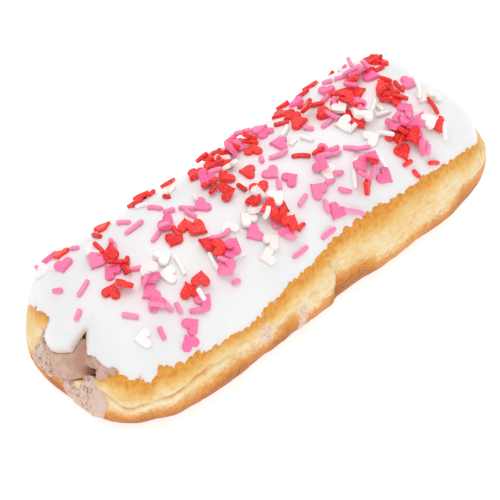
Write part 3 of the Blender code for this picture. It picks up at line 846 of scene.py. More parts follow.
# Dried films on the front side: X, height, reach along X, reach up, strength
FILMS = (
    (-27.5, 18, 3.6, 6.5, 1.0),
    (-28.2, 25.5, 2.4, 0.9, 0.9),
    (-12.5, 14, 2.9, 7.5, 1.0),
    (-47, 13, 2.2, 1.6, 0.6),
)


def front_and_back(x, y, table):
    """Amount along the front read by X, and along the back by X turned round."""
    at_front = 1 - smooth_step(y, -12 * MM, 12 * MM)
    return between(x, table) * at_front + between(-x, table) * (1 - at_front)


def dough_rows(stations):
    """Rows of points from the middle of the underside to the ridge, and their profile angles."""
    low = np.full_like(stations, -math.pi / 2)
    edge = crown_angle(edge_height(stations)) + EDGE_OVERLAP
    above = math.pi / 2 - edge
    angles = [low]
    angles += [low * (1 - step / FOOT_ROWS) for step in range(1, FOOT_ROWS + 1)]
    angles += [edge * step / SIDE_ROWS for step in range(1, SIDE_ROWS + 1)]
    angles += [edge + above * (step / HIDDEN_ROWS) for step in range(1, HIDDEN_ROWS + 1)]
    rows = [bar_point(stations, angle) for angle in angles]
    under = []
    for part in UNDER_SHARES:
        x, y = plan_point(stations, np.full_like(stations, FLAT_SHARE * part))
        under.append(np.stack([x, y, np.zeros_like(x)], -1))
    return np.array(under + rows), np.array([low] * len(under) + angles)


def along_creases(places):
    """For each crease: how far under its line each place is, its strength there and its step."""
    x, y, z = places.T
    wander = sum(reach * np.sin(x / length + start) for reach, length, start in CREASE_WANDER)
    for line, ends, step in CREASES:
        level = sum(between(x + shift * MM, line) for shift in CREASE_SHIFTS) / len(CREASE_SHIFTS)
        strength = plateau(x, *(place * MM for place in ends)) * (y < CREASE_SIDE)
        yield level + wander - z, strength, step * MM


def crease_relief(places):
    """Step out below each crease, or out above it, with a thin groove on the line."""
    push = np.zeros(len(places))
    for under, strength, step in along_creases(places):
        away = under if step > 0 else -under
        stand = plateau(away, -0.4 * MM, 0.6 * MM, 1 * MM, 7 * MM)
        push += strength * (abs(step) * stand - CREASE_GROOVE * hill(under, -0.5 * MM, CREASE_WIDTH))
    return push


def crease_colours(places):
    """Painted highlight along the lip of the first crease, and painted shade in every groove."""
    ridge = None
    toast = np.zeros(len(places))
    for under, strength, _ in along_creases(places):
        # Painted shade along the groove of each crease
        toast = np.maximum(toast, 0.75 * strength * hill(under, -0.4 * MM, 0.6 * MM))
        if ridge is None:
            near_end = 1 - smooth_step(places[:, 0], -66 * MM, -56 * MM)
            # Painted highlight on the lip of the first crease
            ridge = strength * (0.45 + 0.55 * near_end) * hill(under, 0.7 * MM, 0.8 * MM)
    return ridge, toast


def fold_relief(places):
    """Sharp groove where the lap of the front side ends."""
    x, y, z = places.T
    beyond = x - between(z, FOLD_LINE)
    groove = np.where(beyond < 0, hill(beyond, 0, 0.5 * MM), hill(beyond, 0, 1.9 * MM))
    lip = 0.45 * MM * hill(beyond, -1.4 * MM, 1.1 * MM)
    within = plateau(z, 6 * MM, 11 * MM, 25 * MM, 28 * MM)
    return np.where(y < 0, (lip - FOLD_GROOVE * groove) * within, 0.0)


def tunnel_size(x):
    table = np.array(TUNNEL)
    return [np.interp(x / MM, table[:, 0], table[:, column]) * MM for column in range(1, 5)]


def tunnel_ring(x, share, shrink, sides):
    """Ring of points round the tunnel, its floor slanting up towards the front at the mouth."""
    centre_y, centre_z, half_width, half_height = tunnel_size(x)
    slant = MOUTH_SLANT * smooth_step(-x, -SLANT_FROM, -SLANT_TO)
    angle = 2 * math.pi * np.arange(sides) / sides
    y = signed_power(np.sin(angle), 2 / TUNNEL_POWER) * (half_width - shrink) * share
    z = signed_power(np.cos(angle), 2 / TUNNEL_POWER) * (half_height - shrink) * share
    z -= slant * y * np.clip(-np.cos(angle), 0, None)
    return np.stack([np.full(sides, x), centre_y + y, centre_z + z], -1)


def capped_tube(name, rows):
    """Closed body through rows of equal length, each end filled across."""
    faces, numbers = stacked_faces(rows)
    piece = new_piece(name, np.concatenate(rows), faces + [tuple(numbers[0]), tuple(numbers[-1])])
    close_up(piece)
    return piece


WRINKLE_SQUEEZE = (0.3, 0.5, 1.0)
TEAR_SIDES = 72
TEAR_STEP = 1.6
TEAR_START = 9
TEAR_LUMPS = 3.2 * MM
TEAR_ROUGHNESS = 0.5 * MM
UNDER_SMEAR = 0.35 * MM
CRUMB_FROM = 0.7 * MM
CRUMB_TO = 1.4 * MM
END_FACE = -82 * MM


def torn_cutter():
    """Tunnel that tears the mouth open, its wall uneven."""
    rows = [tunnel_ring(TUNNEL[0][0] * MM - TUNNEL_OVERRUN, 1.0, 0.0, TEAR_SIDES)]
    for x in np.arange(TUNNEL[0][0] - TEAR_START, TUNNEL[-1][0], TEAR_STEP):
        ring = tunnel_ring(x * MM, 1.0, 0.0, TEAR_SIDES)
        centre = ring.mean(axis=0)
        ring += unit(ring - centre) * (rough(ring, TEAR_LUMPS, 5.3) * TEAR_ROUGHNESS)[:, None]
        rows.append(ring)
    rows.append(tunnel_ring(TUNNEL_END, TUNNEL_END_SHARE, 0.0, TEAR_SIDES))
    return capped_tube("tunnel cutter", rows)


def crust_relief_tree():
    """Lumps and long wrinkles of the crust, pushed along the normal by geometry nodes."""
    tree, given, result = geometry_tree("crust relief", (
        ("Lump Size", "Float"), ("Lump Depth", "Float"),
        ("Wrinkle Size", "Float"), ("Wrinkle Depth", "Float"), ("Finish", "Material"),
    ))
    place = node(tree, "GeometryNodeInputPosition").outputs[0]
    drawn = vector_maths(tree, "MULTIPLY", place, WRINKLE_SQUEEZE)
    pushes = []
    for label, source, detail in (("Lump", place, 1.0), ("Wrinkle", drawn, 3.0)):
        fineness = maths(tree, "DIVIDE", 1.0, given.outputs[label + " Size"])
        inputs = {"Vector": source, "Scale": fineness, "Detail": detail}
        lumps = node(tree, "ShaderNodeTexNoise", inputs).outputs["Fac"]
        centred = maths(tree, "SUBTRACT", lumps, 0.5)
        pushes.append(maths(tree, "MULTIPLY", centred, given.outputs[label + " Depth"]))
    masked = maths(tree, "MULTIPLY", maths(tree, "ADD", *pushes), named(tree, "bare", "FLOAT"))
    offset = vector_maths(tree, "SCALE", node(tree, "GeometryNodeInputNormal").outputs[0], masked)
    inputs = {"Geometry": given.outputs["Geometry"], "Offset": offset}
    dress(tree, given, result, node(tree, "GeometryNodeSetPosition", inputs).outputs[0])
    return tree


def tear_open(dough):
    """Cut the tunnel out of the dough."""
    cutter = torn_cutter()
    tear = dough.modifiers.new("Tear", "BOOLEAN")
    tear.operation = "DIFFERENCE"
    tear.solver = "EXACT"
    tear.object = cutter
    settle(dough)
    remove(cutter)


def patches_at(places, table):
    """How strong the patches of the table are at each place."""
    x, y, z = places.T
    amount = np.zeros(len(x))
    for place_x, place_y, height, reach, reach_up, strength in table:
        spread = hill(np.hypot(x - place_x * MM, y - place_y * MM), 0, reach * MM)
        amount = np.maximum(amount, strength * spread * hill(z, height * MM, reach_up * MM))
    return amount


def films_at(places):
    """How strong the dried films are at each place of the front side."""
    x, y, z = places.T
    amount = np.zeros(len(x))
    for place_x, height, reach, reach_up, strength in FILMS:
        spread = hill(x, place_x * MM, reach * MM) * hill(z, height * MM, reach_up * MM)
        amount = np.maximum(amount, strength * spread * (y < FILM_SIDE))
    return amount


def smears_at(places):
    """How fully the smears of cream cover each place."""
    x, y, z = places.T
    inside = [distance_inside(y, z, corners) for _, _, corners in SMEARS]
    return smooth_step(np.max(inside, axis=0), -0.9 * MM, 0.3 * MM) * (x < MOUTH_END)


def make_dough():
    stations = OUTLINE.stations(DOUGH_STATIONS)
    rows, profile_angles = dough_rows(stations)
    dough = new_piece("dough_crust", rows.reshape(-1, 3), stacked_faces(rows)[0])
    close_up(dough)
    tear_open(dough)

    edge_angles = crown_angle(edge_height(stations))
    below = np.linalg.norm(rows - bar_point(stations, edge_angles)[None], axis=-1)
    below = np.where(profile_angles < edge_angles[None], below, -below).ravel()
    places = points_of(dough)
    numbers, away = nearest(point_tree(rows.reshape(-1, 3)), places)
    below = below[numbers]

    x, y, z = places.T
    crumb = smooth_step(away, CRUMB_FROM, CRUMB_TO) * (x > END_FACE)
    bare = smooth_step(below, -0.2 * MM, 1.2 * MM) * smooth_step(z, 0.2 * MM, 2.5 * MM) * (1 - crumb)
    mouth = hill(x, END_FACE, 8 * MM) * hill(y, -1 * MM, 15 * MM)
    smeared = smears_at(places)
    # Painted highlight on the crease lip, and painted shade in the crease grooves
    ridge, crease_shade = crease_colours(places)
    push = (crease_relief(places) + fold_relief(places)) * bare * (1 - smeared)
    push -= UNDER_SMEAR * smeared * bare
    move_points(dough, places + normals_of(dough) * push[:, None])
    for name, values in (
        ("into_band_mm", (front_and_back(x, y, BAND_DEPTHS) - below) / MM),
        ("into_foot_mm", (front_and_back(x, y, FOOT_TOPS) - z) / MM),
        ("ridge", ridge * bare),
        ("bare", bare * (1 - 0.7 * mouth) * (1 - smeared)),
        # Toast, and painted shade in the crease grooves, beside the fold and under the far ledge
        ("toast", np.maximum(patches_at(places, TOAST_AND_SHADE_PATCHES), crease_shade)),
        ("pale", patches_at(places, PALE_PATCHES)),
        ("film", films_at(places)),
        ("crumb", crumb),
    ):
        mark(dough, name, values)
    add_node_modifier(dough, crust_relief_tree(), {
        "Lump Size": 10 * MM, "Lump Depth": 1.4 * MM,
        "Wrinkle Size": 1.6 * MM, "Wrinkle Depth": 0.5 * MM, "Finish": fried_crust(),
    })
    settle(dough)
    places = points_of(dough)
    places[:, 2] = np.maximum(places[:, 2], 0.0)
    move_points(dough, places)
    return dough


# Icing

ICING_STATIONS = 2100
EDGE_DISTANCES = (0.0, 0.1, 0.22, 0.38, 0.58, 0.82, 1.1, 1.5, 2.0, 2.7, 3.5)
CROWN_ROWS = 34
UNDER_DISTANCES = (0.5, 1.4, 3.5)
UNDER_ROWS = 6
PROFILE_SAMPLES = 260
LOWEST_DRIP = -0.35
RAGGED_REACH = 2.6 * MM
EDGE_SINK = 0.12 * MM
LOBE_CLEARANCE = 0.1 * MM
MOUTH_END = -70 * MM
# How far up from the edge the painted shade over the cream reaches
SHADE_OVER_CREAM_REACH = 2.2 * MM
WAVE_LENGTH = 17 * MM
WAVE_HEIGHT = 0.35 * MM
RAGGED_SEED = 41
RAGGED_MIDDLE = 2.0 * MM
LOBE_CALM = 0.92
LEAN = 0.28 * MM

# Waves of the lean along the edge: share, how many round the bar, start
LEAN_WAVES = ((1, 171, 0.4), (0.7, 97, 2.0))

# Arches that make up the ragged edge: shortest, longest, shallowest, deepest
RAGGED_ARCHES = ((4.2, 9.0, 0.3, 1.9), (1.8, 3.6, 0.4, 1.9), (0.6, 1.3, 0.15, 0.5))

# Bays in the edge of the icing, in millimetres: X, Y, half width, depth
BAYS = np.array((
    (-66.8, -27.4, 2.2, 1.2),
    (30.0, 28.0, 3.0, 1.5),
    (-20.0, 29.0, 2.6, 1.4),
)) * MM

# Long waves and rolls of the icing: X, Y, reach along X, reach across, amount
ICING_ROLLS = np.array((
    (-56, -25, 18, 2.0, 0.45),
    (-56, -21, 18, 2.4, -0.35),
    (-30, 4, 16, 9, 0.25),
    (24, -6, 18, 10, 0.30),
    (60, 16, 12, 7, 0.35),
)) * MM


def arches(distance, shortest, longest, shallow, deep, draw):
    """Height of arches that meet in cusps at uneven steps along a closed line."""
    gaps = []
    while sum(gaps) < OUTLINE.length / MM:
        gaps.append(draw.uniform(shortest, longest))
    ends = np.concatenate([[0], np.cumsum(gaps)])
    ends *= OUTLINE.length / ends[-1]
    depths = np.array([draw.uniform(shallow, deep) * MM for _ in gaps])
    distance = distance % OUTLINE.length
    which = np.clip(np.searchsorted(ends, distance, side="right") - 1, 0, len(gaps) - 1)
    part = 2 * (distance - ends[which]) / (ends[which + 1] - ends[which]) - 1
    return depths[which] * np.sqrt(np.clip(1 - part * part, 0, 1))


def bays(distance):
    """Round bays where the icing has drawn back from the corners of the open end."""
    x, y = plan_point(OUTLINE.angle_at(distance), np.ones_like(distance))
    rise = np.zeros_like(distance)
    for place_x, place_y, half, depth in BAYS:
        away = np.hypot(x - place_x, y - place_y) / half
        rise = np.maximum(rise, depth * np.sqrt(np.clip(1 - away ** 2, 0, 1)))
    return rise


def ragged(distance):
    """How far the edge of the icing rises above its even line, in bays and fine notches."""
    draw = random.Random(RAGGED_SEED)
    rise = sum(arches(distance, *kind, draw) for kind in RAGGED_ARCHES)
    x, _ = plan_point(OUTLINE.angle_at(distance), np.ones_like(distance))
    share = 1 - 0.3 * smooth_step(x, -50 * MM, -20 * MM) - 0.4 * smooth_step(x, 66 * MM, 74 * MM)
    return (rise - RAGGED_MIDDLE) * share + bays(distance)


def sideways(distance):
    """Small shifts along the edge, which lean the drips over."""
    turns = 2 * math.pi * distance / OUTLINE.length
    return LEAN * sum(share * np.sin(turns * waves + start) for share, waves, start in LEAN_WAVES)


def drape_at(places):
    """How far the icing's lobe stands out over the cream at each place."""
    across = hill(places[:, 1], LOBE_Y, LOBE_HALF_WIDTH)
    up = hill(places[:, 2], LOBE_HEIGHT, LOBE_REACH_UP)
    bulge = np.where(places[:, 0] < 0, LOBE_BULGE * across * up, 0.0)
    return np.maximum(bulge - LOBE_CLEARANCE, 0)


class IcingSheet:
    """Places on the bar by distance round it and distance up from the even edge."""

    def __init__(self, stations):
        self.distance = OUTLINE.distance_at(stations)
        self.samples = np.linspace(LOWEST_DRIP, math.pi / 2, PROFILE_SAMPLES)
        grid = bar_point(stations[None, :], self.samples[:, None])
        steps = np.linalg.norm(np.diff(grid, axis=0), axis=-1)
        climbed = np.concatenate([np.zeros((1, len(stations))), np.cumsum(steps, axis=0)])

        def climb_to(angles):
            return np.array([
                np.interp(angle, self.samples, climbed[:, step]) for step, angle in enumerate(angles)])

        at_edge = climb_to(crown_angle(edge_height(stations)))
        self.climbed = climbed - at_edge
        self.edge_climb = at_edge - climb_to(np.zeros(len(stations)))
        self.total = self.climbed[-1]

    def profile_angles(self, rise):
        """Profile angle of each station at its distance above the even edge."""
        return np.array([
            np.interp(rise[step], self.climbed[:, step], self.samples) for step in range(len(rise))])


def near_calm(distance):
    """1 where the edge is ragged, less on the smooth lobe over the cream."""
    x, y = plan_point(OUTLINE.angle_at(distance), np.ones_like(distance))
    return 1 - LOBE_CALM * plateau(y, -11 * MM, -7 * MM, 10 * MM, 13 * MM) * (x < 0)


def icing_rows(stations):
    """Rows of the outer and of the under face, each from the edge to the ridge: plan angles,
    profile angles and how far from the edge they are."""
    fine = IcingSheet(stations)
    coarse = IcingSheet(stations[::3])
    drop = ragged(fine.distance) * near_calm(fine.distance)
    lean = sideways(fine.distance) * near_calm(fine.distance)
    edge_line = np.stack([fine.distance + lean, fine.edge_climb + drop, np.zeros_like(drop)], -1)
    tree = point_tree(edge_line)

    def row(sheet, part_of, rise, fade):
        along = sheet.distance + lean[::part_of] * fade
        height = rise + drop[::part_of] * fade
        spots = np.stack([along, sheet.edge_climb + height, np.zeros_like(height)], -1)
        return OUTLINE.angle_at(along), sheet.profile_angles(height), nearest(tree, spots)[1]

    def face(distances, steps):
        rows = []
        for rise in distances:
            fade = math.exp(-(rise * MM / RAGGED_REACH) ** 2)
            rows.append(row(fine, 1, np.full(len(fine.distance), rise * MM), fade))
        last = distances[-1] * MM
        for step in range(1, steps):
            rows.append(row(coarse, 3, last + (coarse.total - last) * step / steps, 0.0))
        angle = OUTLINE.angle_at(coarse.distance)
        rows.append((angle, np.full_like(angle, math.pi / 2), coarse.total))
        return rows

    return face(EDGE_DISTANCES, CROWN_ROWS), face(UNDER_DISTANCES, UNDER_ROWS)


def outer_depth(place, from_edge):
    """How far the outer face of the icing stands off the bar."""
    x, y, _ = place.T
    rounding = np.clip(1 - from_edge / LIP_REACH, 0, 1)
    lip = LIP_THICKNESS * np.sqrt(1 - rounding ** 2)
    deep = (ICING_THICKNESS + ICING_GAP - LIP_THICKNESS) * smooth_step(from_edge, 0, THICKENING)
    swell = np.zeros(len(place))
    for roll_x, roll_y, reach, reach_across, amount in ICING_ROLLS:
        swell += amount * hill(x, roll_x, reach) * hill(y, roll_y, reach_across)
    swell += rough(place, WAVE_LENGTH, 3.1) * WAVE_HEIGHT
    swell *= smooth_step(from_edge, 1.5 * MM, 5 * MM)
    return drape_at(place) + lip + deep + swell - EDGE_SINK * rounding


def make_icing():
    outer, under = icing_rows(OUTLINE.stations(ICING_STATIONS))
    points = []
    thin = []
    veil = []
    for number, (angle, profile_angle, from_edge) in enumerate(outer + under):
        place = bar_point(angle, profile_angle)
        x, y, _ = place.T
        if number < len(outer):
            depth = outer_depth(place, from_edge)
            thin.append(1 - smooth_step(from_edge, 0.3 * MM, 2.4 * MM))
            # Painted shade on the lobe's lip where it lies over the cream
            over_cream = plateau(y, -9 * MM, -6.5 * MM, 6 * MM, 8.5 * MM)
            veil.append(over_cream * (x < MOUTH_END) * (1 - smooth_step(from_edge, 0, SHADE_OVER_CREAM_REACH)))
        else:
            depth = drape_at(place) - EDGE_SINK
            thin.append(np.ones(len(angle)))
            veil.append(np.zeros(len(angle)))
        points.append(place + bar_normal(angle, profile_angle) * depth[:, None])
    ends = np.cumsum([0] + [len(row) for row in points]).tolist()
    numbers = [list(range(start, end)) for start, end in zip(ends, ends[1:])]
    faces = []
    for low, high in zip(numbers[:len(outer)], numbers[1:len(outer)]):
        faces += row_faces(low, high)
    below = [numbers[0]] + numbers[len(outer):]
    for low, high in zip(below, below[1:]):
        faces += [face[::-1] for face in row_faces(low, high)]
    icing = new_piece("icing_coat", np.concatenate(points), faces)
    mark(icing, "thin", np.concatenate(thin))
    mark(icing, "veil", np.concatenate(veil))
    close_up(icing, 2 * MERGED)
    icing.data.materials.append(set_icing())
    return icing


BOUNCE_LIGHT_REACH = 2.6 * MM


def paint_candy_bounce_light(icing, places, colours):
    """Paint pink bounce light on the icing round the coloured sprinkles."""
    spots = points_of(icing)
    dye = np.zeros(len(spots))
    for place, colour in zip(places, colours):
        if colour == "white":
            continue
        away = np.linalg.norm(spots - np.array(place), axis=1)
        # Painted pink bounce light round each pink and red candy
        dye += 0.7 * hill(away, 0, BOUNCE_LIGHT_REACH)
    mark(icing, "dye", np.clip(dye, 0, 1))


# Cream

CREAM_SIDES = 180
DOME_ROWS = 40
TOP_POWER = 2.0
LOW_POWER = 3.2
BEHIND_ICING = 1.1 * MM
DOME_SHARE = 0.995
CORE_START = 1.2
CORE_STEP = 4.0

# Dents in the cream at the mouth: Y, height, reach across, reach up, depth
CREAM_DENTS = np.array((
    (-6.6, 32.0, 2.2, 4.0, 2.4),
    (-8.6, 27.0, 3.2, 5.0, 2.6),
    (-11.2, 25.4, 2.4, 2.0, 6.0),
    (-4.0, 22.0, 5.0, 3.0, 0.5),
    (4.7, 19.5, 0.8, 4.5, 1.8),
)) * MM

# Lumps of the cream: size, seed, height
CREAM_LUMPS = ((5.5, 7.7, 0.5), (1.5, 2.9, 0.16))

# Where along X the cream is proud of the tunnel, and where it sags
PROUD_FROM_TO = (-79 * MM, -76 * MM)
SAGS_FROM_TO = (-82.6 * MM, -80.8 * MM)
# Dent depth that sets how dark the painted shade in the cream gets
DENT_SHADE_DEPTH = 2.5 * MM
SAG = 0.5 * MM
SAG_Y = 1.5 * MM
SAG_REACH = 6.0 * MM
SAG_HEIGHT = 16.5 * MM
SAG_REACH_UP = 4.5 * MM


def make_cream(ground):
    """Cream down the tunnel, domed where it comes out under the icing's lobe."""
    mouth = TUNNEL[0][0] * MM
    depth = mouth - CREAM_TIP
    turn = 2 * math.pi * np.arange(CREAM_SIDES) / CREAM_SIDES
    power = (TOP_POWER + LOW_POWER) / 2 + (TOP_POWER - LOW_POWER) / 2 * np.cos(turn)
    rows = []
    for step in range(1, DOME_ROWS + 1):
        share = math.sin(math.pi / 2 * step / DOME_ROWS)
        ring = tunnel_ring(mouth, share * DOME_SHARE, 0.0, CREAM_SIDES)
        ring[:, 0] -= depth * np.maximum(1 - share ** power, 0) ** (1 / power)
        rows.append(ring)
    for x in np.arange(mouth / MM + CORE_START, TUNNEL[-1][0], CORE_STEP):
        rows.append(tunnel_ring(x * MM, 1.0, CREAM_GAP, CREAM_SIDES))
    rows.append(tunnel_ring(TUNNEL_END - CREAM_GAP, TUNNEL_END_SHARE, CREAM_GAP, CREAM_SIDES))
    cream = capped_tube("cream_core", rows)
    places = points_of(cream)
    x, y, z = places.T
    proud = 1 - smooth_step(x, *PROUD_FROM_TO)
    inward = np.zeros(len(x))
    for place_y, height, reach, reach_up, amount in CREAM_DENTS:
        inward += amount * hill(y, place_y, reach) * hill(z, height, reach_up)
    for size, seed, height in CREAM_LUMPS:
        inward -= rough(places, size * MM, seed) * height * MM
    sag = SAG * hill(y, SAG_Y, SAG_REACH) * hill(z, SAG_HEIGHT, SAG_REACH_UP)
    out_of_mouth = 1 - smooth_step(x, *SAGS_FROM_TO)
    places[:, 0] += inward * proud
    places[:, 2] -= sag * out_of_mouth
    for number in np.flatnonzero(places[:, 0] < mouth + 4 * MM):
        start = Vector((2 * CREAM_TIP, places[number, 1], places[number, 2]))
        hit = ground.ray_cast(start, Vector((1, 0, 0)))[0]
        if hit is not None and hit.x < MOUTH_END:
            places[number, 0] = max(places[number, 0], hit.x + BEHIND_ICING)
    move_points(cream, places)
    mark(cream, "thin", np.zeros(len(places)))
    # Painted shade, darker the deeper the cream is dented
    mark(cream, "pitted", np.clip(inward / DENT_SHADE_DEPTH - 0.3, 0, 1) * proud)
    cream.data.materials.append(whipped_cream())
    return cream


# Smears of cream on the end of the dough: thickness, lightness, corners as Y and height
SMEARS = (
    (0.85, 0.62, (
        (9.8, 29.1), (10.3, 28.7), (10.5, 25.5), (10.9, 22.9), (13.2, 18.2), (12.6, 14.5), (9.0, 13.8),
        (6.9, 14.6), (5.4, 13.2), (3.3, 15.2), (-2.2, 16.6), (-2.2, 17.8), (1.0, 17.0), (4.2, 16.2),
        (4.4, 21.9), (4.8, 23.4), (8.2, 24.9), (9.4, 26.7))),
    (0.5, 0.66, (
        (-0.6, 15.7), (-0.6, 12.6), (-1.8, 11.1), (-3.6, 10.0), (-6.2, 8.2), (-9.5, 6.7), (-13.0, 7.5),
        (-15.1, 9.6), (-16.4, 13.8), (-17.2, 16.8), (-16.8, 19.2), (-16.1, 20.6), (-14.5, 21.5),
        (-12.9, 21.8), (-13.3, 23.4), (-11.6, 24.3), (-10.1, 24.3), (-8.7, 22.6), (-8.4, 20.7),
        (-7.3, 17.1), (-5.3, 16.4), (-5.2, 18.4), (-2.5, 17.4))),
    (0.8, 0.1, (
        (-8.8, 31.9), (-10.0, 32.0), (-12.2, 31.2), (-14.2, 30.5), (-15.7, 30.4), (-17.4, 30.1),
        (-17.7, 28.3), (-17.3, 27.5), (-16.1, 27.9), (-15.5, 28.2), (-15.8, 27.2), (-15.7, 25.7),
        (-14.7, 25.8), (-14.1, 24.8), (-12.9, 25.8), (-12.5, 27.5), (-11.3, 28.9), (-9.9, 30.1))),
)
PITTED_FROM = -14 * MM
PITTED_TO = -10 * MM
SMEAR_COLUMNS = 250
SMEAR_ROWS = 170
SMEAR_REACH = 22 * MM
SMEAR_BACK = 0.9 * MM
SMEAR_RIM = 0.45 * MM
SMEAR_CUT = -0.3 * MM

# Burst bells in the smears: size, seed, how much of the noise stays flat
SMEAR_BELLS = ((1.0, 4.4, 0.22), (0.6, 8.4, 0.25))
SMEAR_LOW = math.radians(-50)
SMEAR_HIGH = math.radians(52)


def distance_inside(y, z, corners):
    """How far each place lies inside the outline through the corners, less than 0 outside."""
    nearest = np.full_like(y, 1.0)
    inside = np.zeros(len(y), dtype=bool)
    corners = np.array(corners) * MM
    for (y0, z0), (y1, z1) in zip(corners, np.roll(corners, -1, axis=0)):
        along = ((y - y0) * (y1 - y0) + (z - z0) * (z1 - z0)) / ((y1 - y0) ** 2 + (z1 - z0) ** 2)
        along = np.clip(along, 0, 1)
        nearest = np.minimum(nearest, np.hypot(y - y0 - along * (y1 - y0), z - z0 - along * (z1 - z0)))
        if z0 != z1:
            inside ^= ((z0 > z) != (z1 > z)) & (y < y0 + (y1 - y0) * (z - z0) / (z1 - z0))
    return np.where(inside, nearest, -nearest)


def make_smears():
    """Film of cream dragged over the crust below and beside the mouth."""
    middle = OUTLINE.distance_at(math.pi)
    distance = middle + np.linspace(-SMEAR_REACH, SMEAR_REACH, SMEAR_COLUMNS)
    plan_angle = OUTLINE.angle_at(distance)[None, :]
    profile_angle = np.linspace(SMEAR_LOW, SMEAR_HIGH, SMEAR_ROWS)[:, None]
    place = bar_point(plan_angle, profile_angle).reshape(-1, 3)
    normal = bar_normal(plan_angle, profile_angle).reshape(-1, 3)
    y, z = place[:, 1], place[:, 2]
    coarse = rough(place, 2.2 * MM, 1.7)
    fine = rough(place, 0.8 * MM, 9.2)
    bells = sum(
        np.maximum(rough(place, size * MM, seed) - rim, 0) for size, seed, rim in SMEAR_BELLS)
    film = np.full(len(y), -1.0 * MM)
    light = np.zeros(len(y))
    for thickness, lightness, corners in SMEARS:
        edge = distance_inside(y, z, corners) + (0.35 * coarse + 0.35 * fine) * MM
        high = np.clip(edge / SMEAR_RIM, -1, 1) * thickness * MM
        light = np.where(high > film, lightness, light)
        film = np.maximum(film, high)
    pitted = np.clip(bells * 4, 0, 1) * smooth_step(y, PITTED_FROM, PITTED_TO)
    film += np.where(film > 0, (0.16 * coarse + 0.08 * fine) * MM, 0)
    film -= np.minimum(bells * 1.5, 0.8) * MM * np.clip(pitted * 2, 0, 1) * (film > 0)
    film = np.maximum(film, -0.7 * MM)
    front = place + normal * film[:, None]
    back = place - normal * SMEAR_BACK
    total = len(film)
    quads = []
    for corner in range(total - SMEAR_COLUMNS):
        quad = (corner, corner + 1, corner + SMEAR_COLUMNS + 1, corner + SMEAR_COLUMNS)
        if (corner + 1) % SMEAR_COLUMNS and max(film[list(quad)]) >= SMEAR_CUT:
            quads.append(quad)
    ways = {way for quad in quads for way in zip(quad, quad[1:] + quad[:1])}
    rims = [(b, a, a + total, b + total) for a, b in sorted(ways) if (b, a) not in ways]
    backs = [tuple(number + total for number in reversed(quad)) for quad in quads]
    used, faces = np.unique(np.array(quads + backs + rims), return_inverse=True)
    points = np.concatenate([front, back])[used]
    piece = new_piece("cream_smears", points, faces.reshape(-1, 4).tolist())
    mark(piece, "thin", np.tile(light, 2)[used])
    mark(piece, "pitted", np.tile(pitted, 2)[used])
    close_up(piece, 0)
    piece.data.shade_smooth()
    piece.data.materials.append(bpy.data.materials["whipped chocolate cream"])
    return piece


# Sprinkles

def share_at(x, y):
    swell = sum(amount * hill(x, place, reach) for side, place, reach, amount in SWELLS if y * side > 0)
    across = abs(y) / (WIDTH / 2 + swell)
    beyond = (abs(x) - (LENGTH - WIDTH) / 2) / (WIDTH / 2)
    return (across ** PLAN_POWER + max(beyond, 0.0) ** PLAN_POWER) ** (1 / PLAN_POWER)


def scatter():
    """Sprinkles drift by drift: kind, place, heading, lean, lean heading, length, colour."""
    draw = random.Random(SEED)
    laid = []
    for x, y, spread, hearts, sticks, red, pink in DRIFTS:
        piled = PILED_IN_HEAP if spread < HEAP_SPREAD else PILED_LOOSE
        for kind in ["heart"] * hearts + ["stick"] * sticks:
            room = CLOSE if draw.random() < piled else CLEAR
            for _ in range(TRIES):
                place = Vector((draw.gauss(x, spread) * MM, draw.gauss(y, spread) * MM))
                nearest = min(((place - item[1]).length for item in laid), default=CLEAR)
                on_icing = share_at(place.x, place.y) < BARE_SHARE and place.x < FAR_LIMIT
                if on_icing and nearest >= room:
                    break
            else:
                continue
            lean = abs(draw.gauss(0, LEAN_PILED if nearest < CLEAR else LEAN_ALONE))
            heading = draw.uniform(0, 360)
            lean_heading = draw.uniform(0, 360)
            length = draw.triangular(STICK_SHORTEST, STICK_LONGEST, STICK_COMMONEST)
            chance = draw.random()
            colour = "red" if chance < red else "pink" if chance < red + pink else "white"
            lean = min(lean, STEEPEST if kind == "heart" else STICK_STEEPEST)
            laid.append((kind, place, heading, lean, lean_heading, length, colour))
    return laid


STRAIGHT_STICK = 0.03
BENT_STICK = 0.12
BENT_SHARE = 0.2
HEART_SIDES = 24
HEART_RIM = 0.2 * MM
HEART_FLAT = 0.93
HEART_SHARP = math.radians(30)
ROD_STEPS = 7
ROD_SIDES = 8
ROD_FULL_TO = 0.42
ROD_TIP = 0.7


def heart_outline(angles):
    """Outline of a candy heart, its point down."""
    x = HEART_CURVE_SIDE * np.sin(angles) ** 3
    y = sum(amount * np.cos(turn * angles) for turn, amount in enumerate(HEART_CURVE, 1))
    return np.stack([x, y - HEART_CURVE_MIDDLE], -1) * HEART_WIDTH / (2 * HEART_CURVE_SIDE)


def candy_heart():
    """Pressed heart with rounded rims and flat faces."""
    outline = heart_outline(2 * math.pi * np.arange(HEART_SIDES) / HEART_SIDES)
    half = HEART_THICKNESS / 2
    rows = []
    for share, height in ((HEART_FLAT, -half), (1.0, -half + HEART_RIM), (1.0, half - HEART_RIM),
                          (HEART_FLAT, half)):
        rows.append(np.column_stack([outline * share, np.full(HEART_SIDES, height)]))
    shape = capped_tube("heart shape", rows)
    shape.data.set_sharp_from_angle(angle=HEART_SHARP)
    return shape


def rod_line():
    """Line along X, one unit long, its points closer together near the ends."""
    places = [(-0.5 * math.cos(math.pi * step / ROD_STEPS), 0, 0) for step in range(ROD_STEPS + 1)]
    return new_piece("rod line", places, edges=[(step, step + 1) for step in range(ROD_STEPS)])


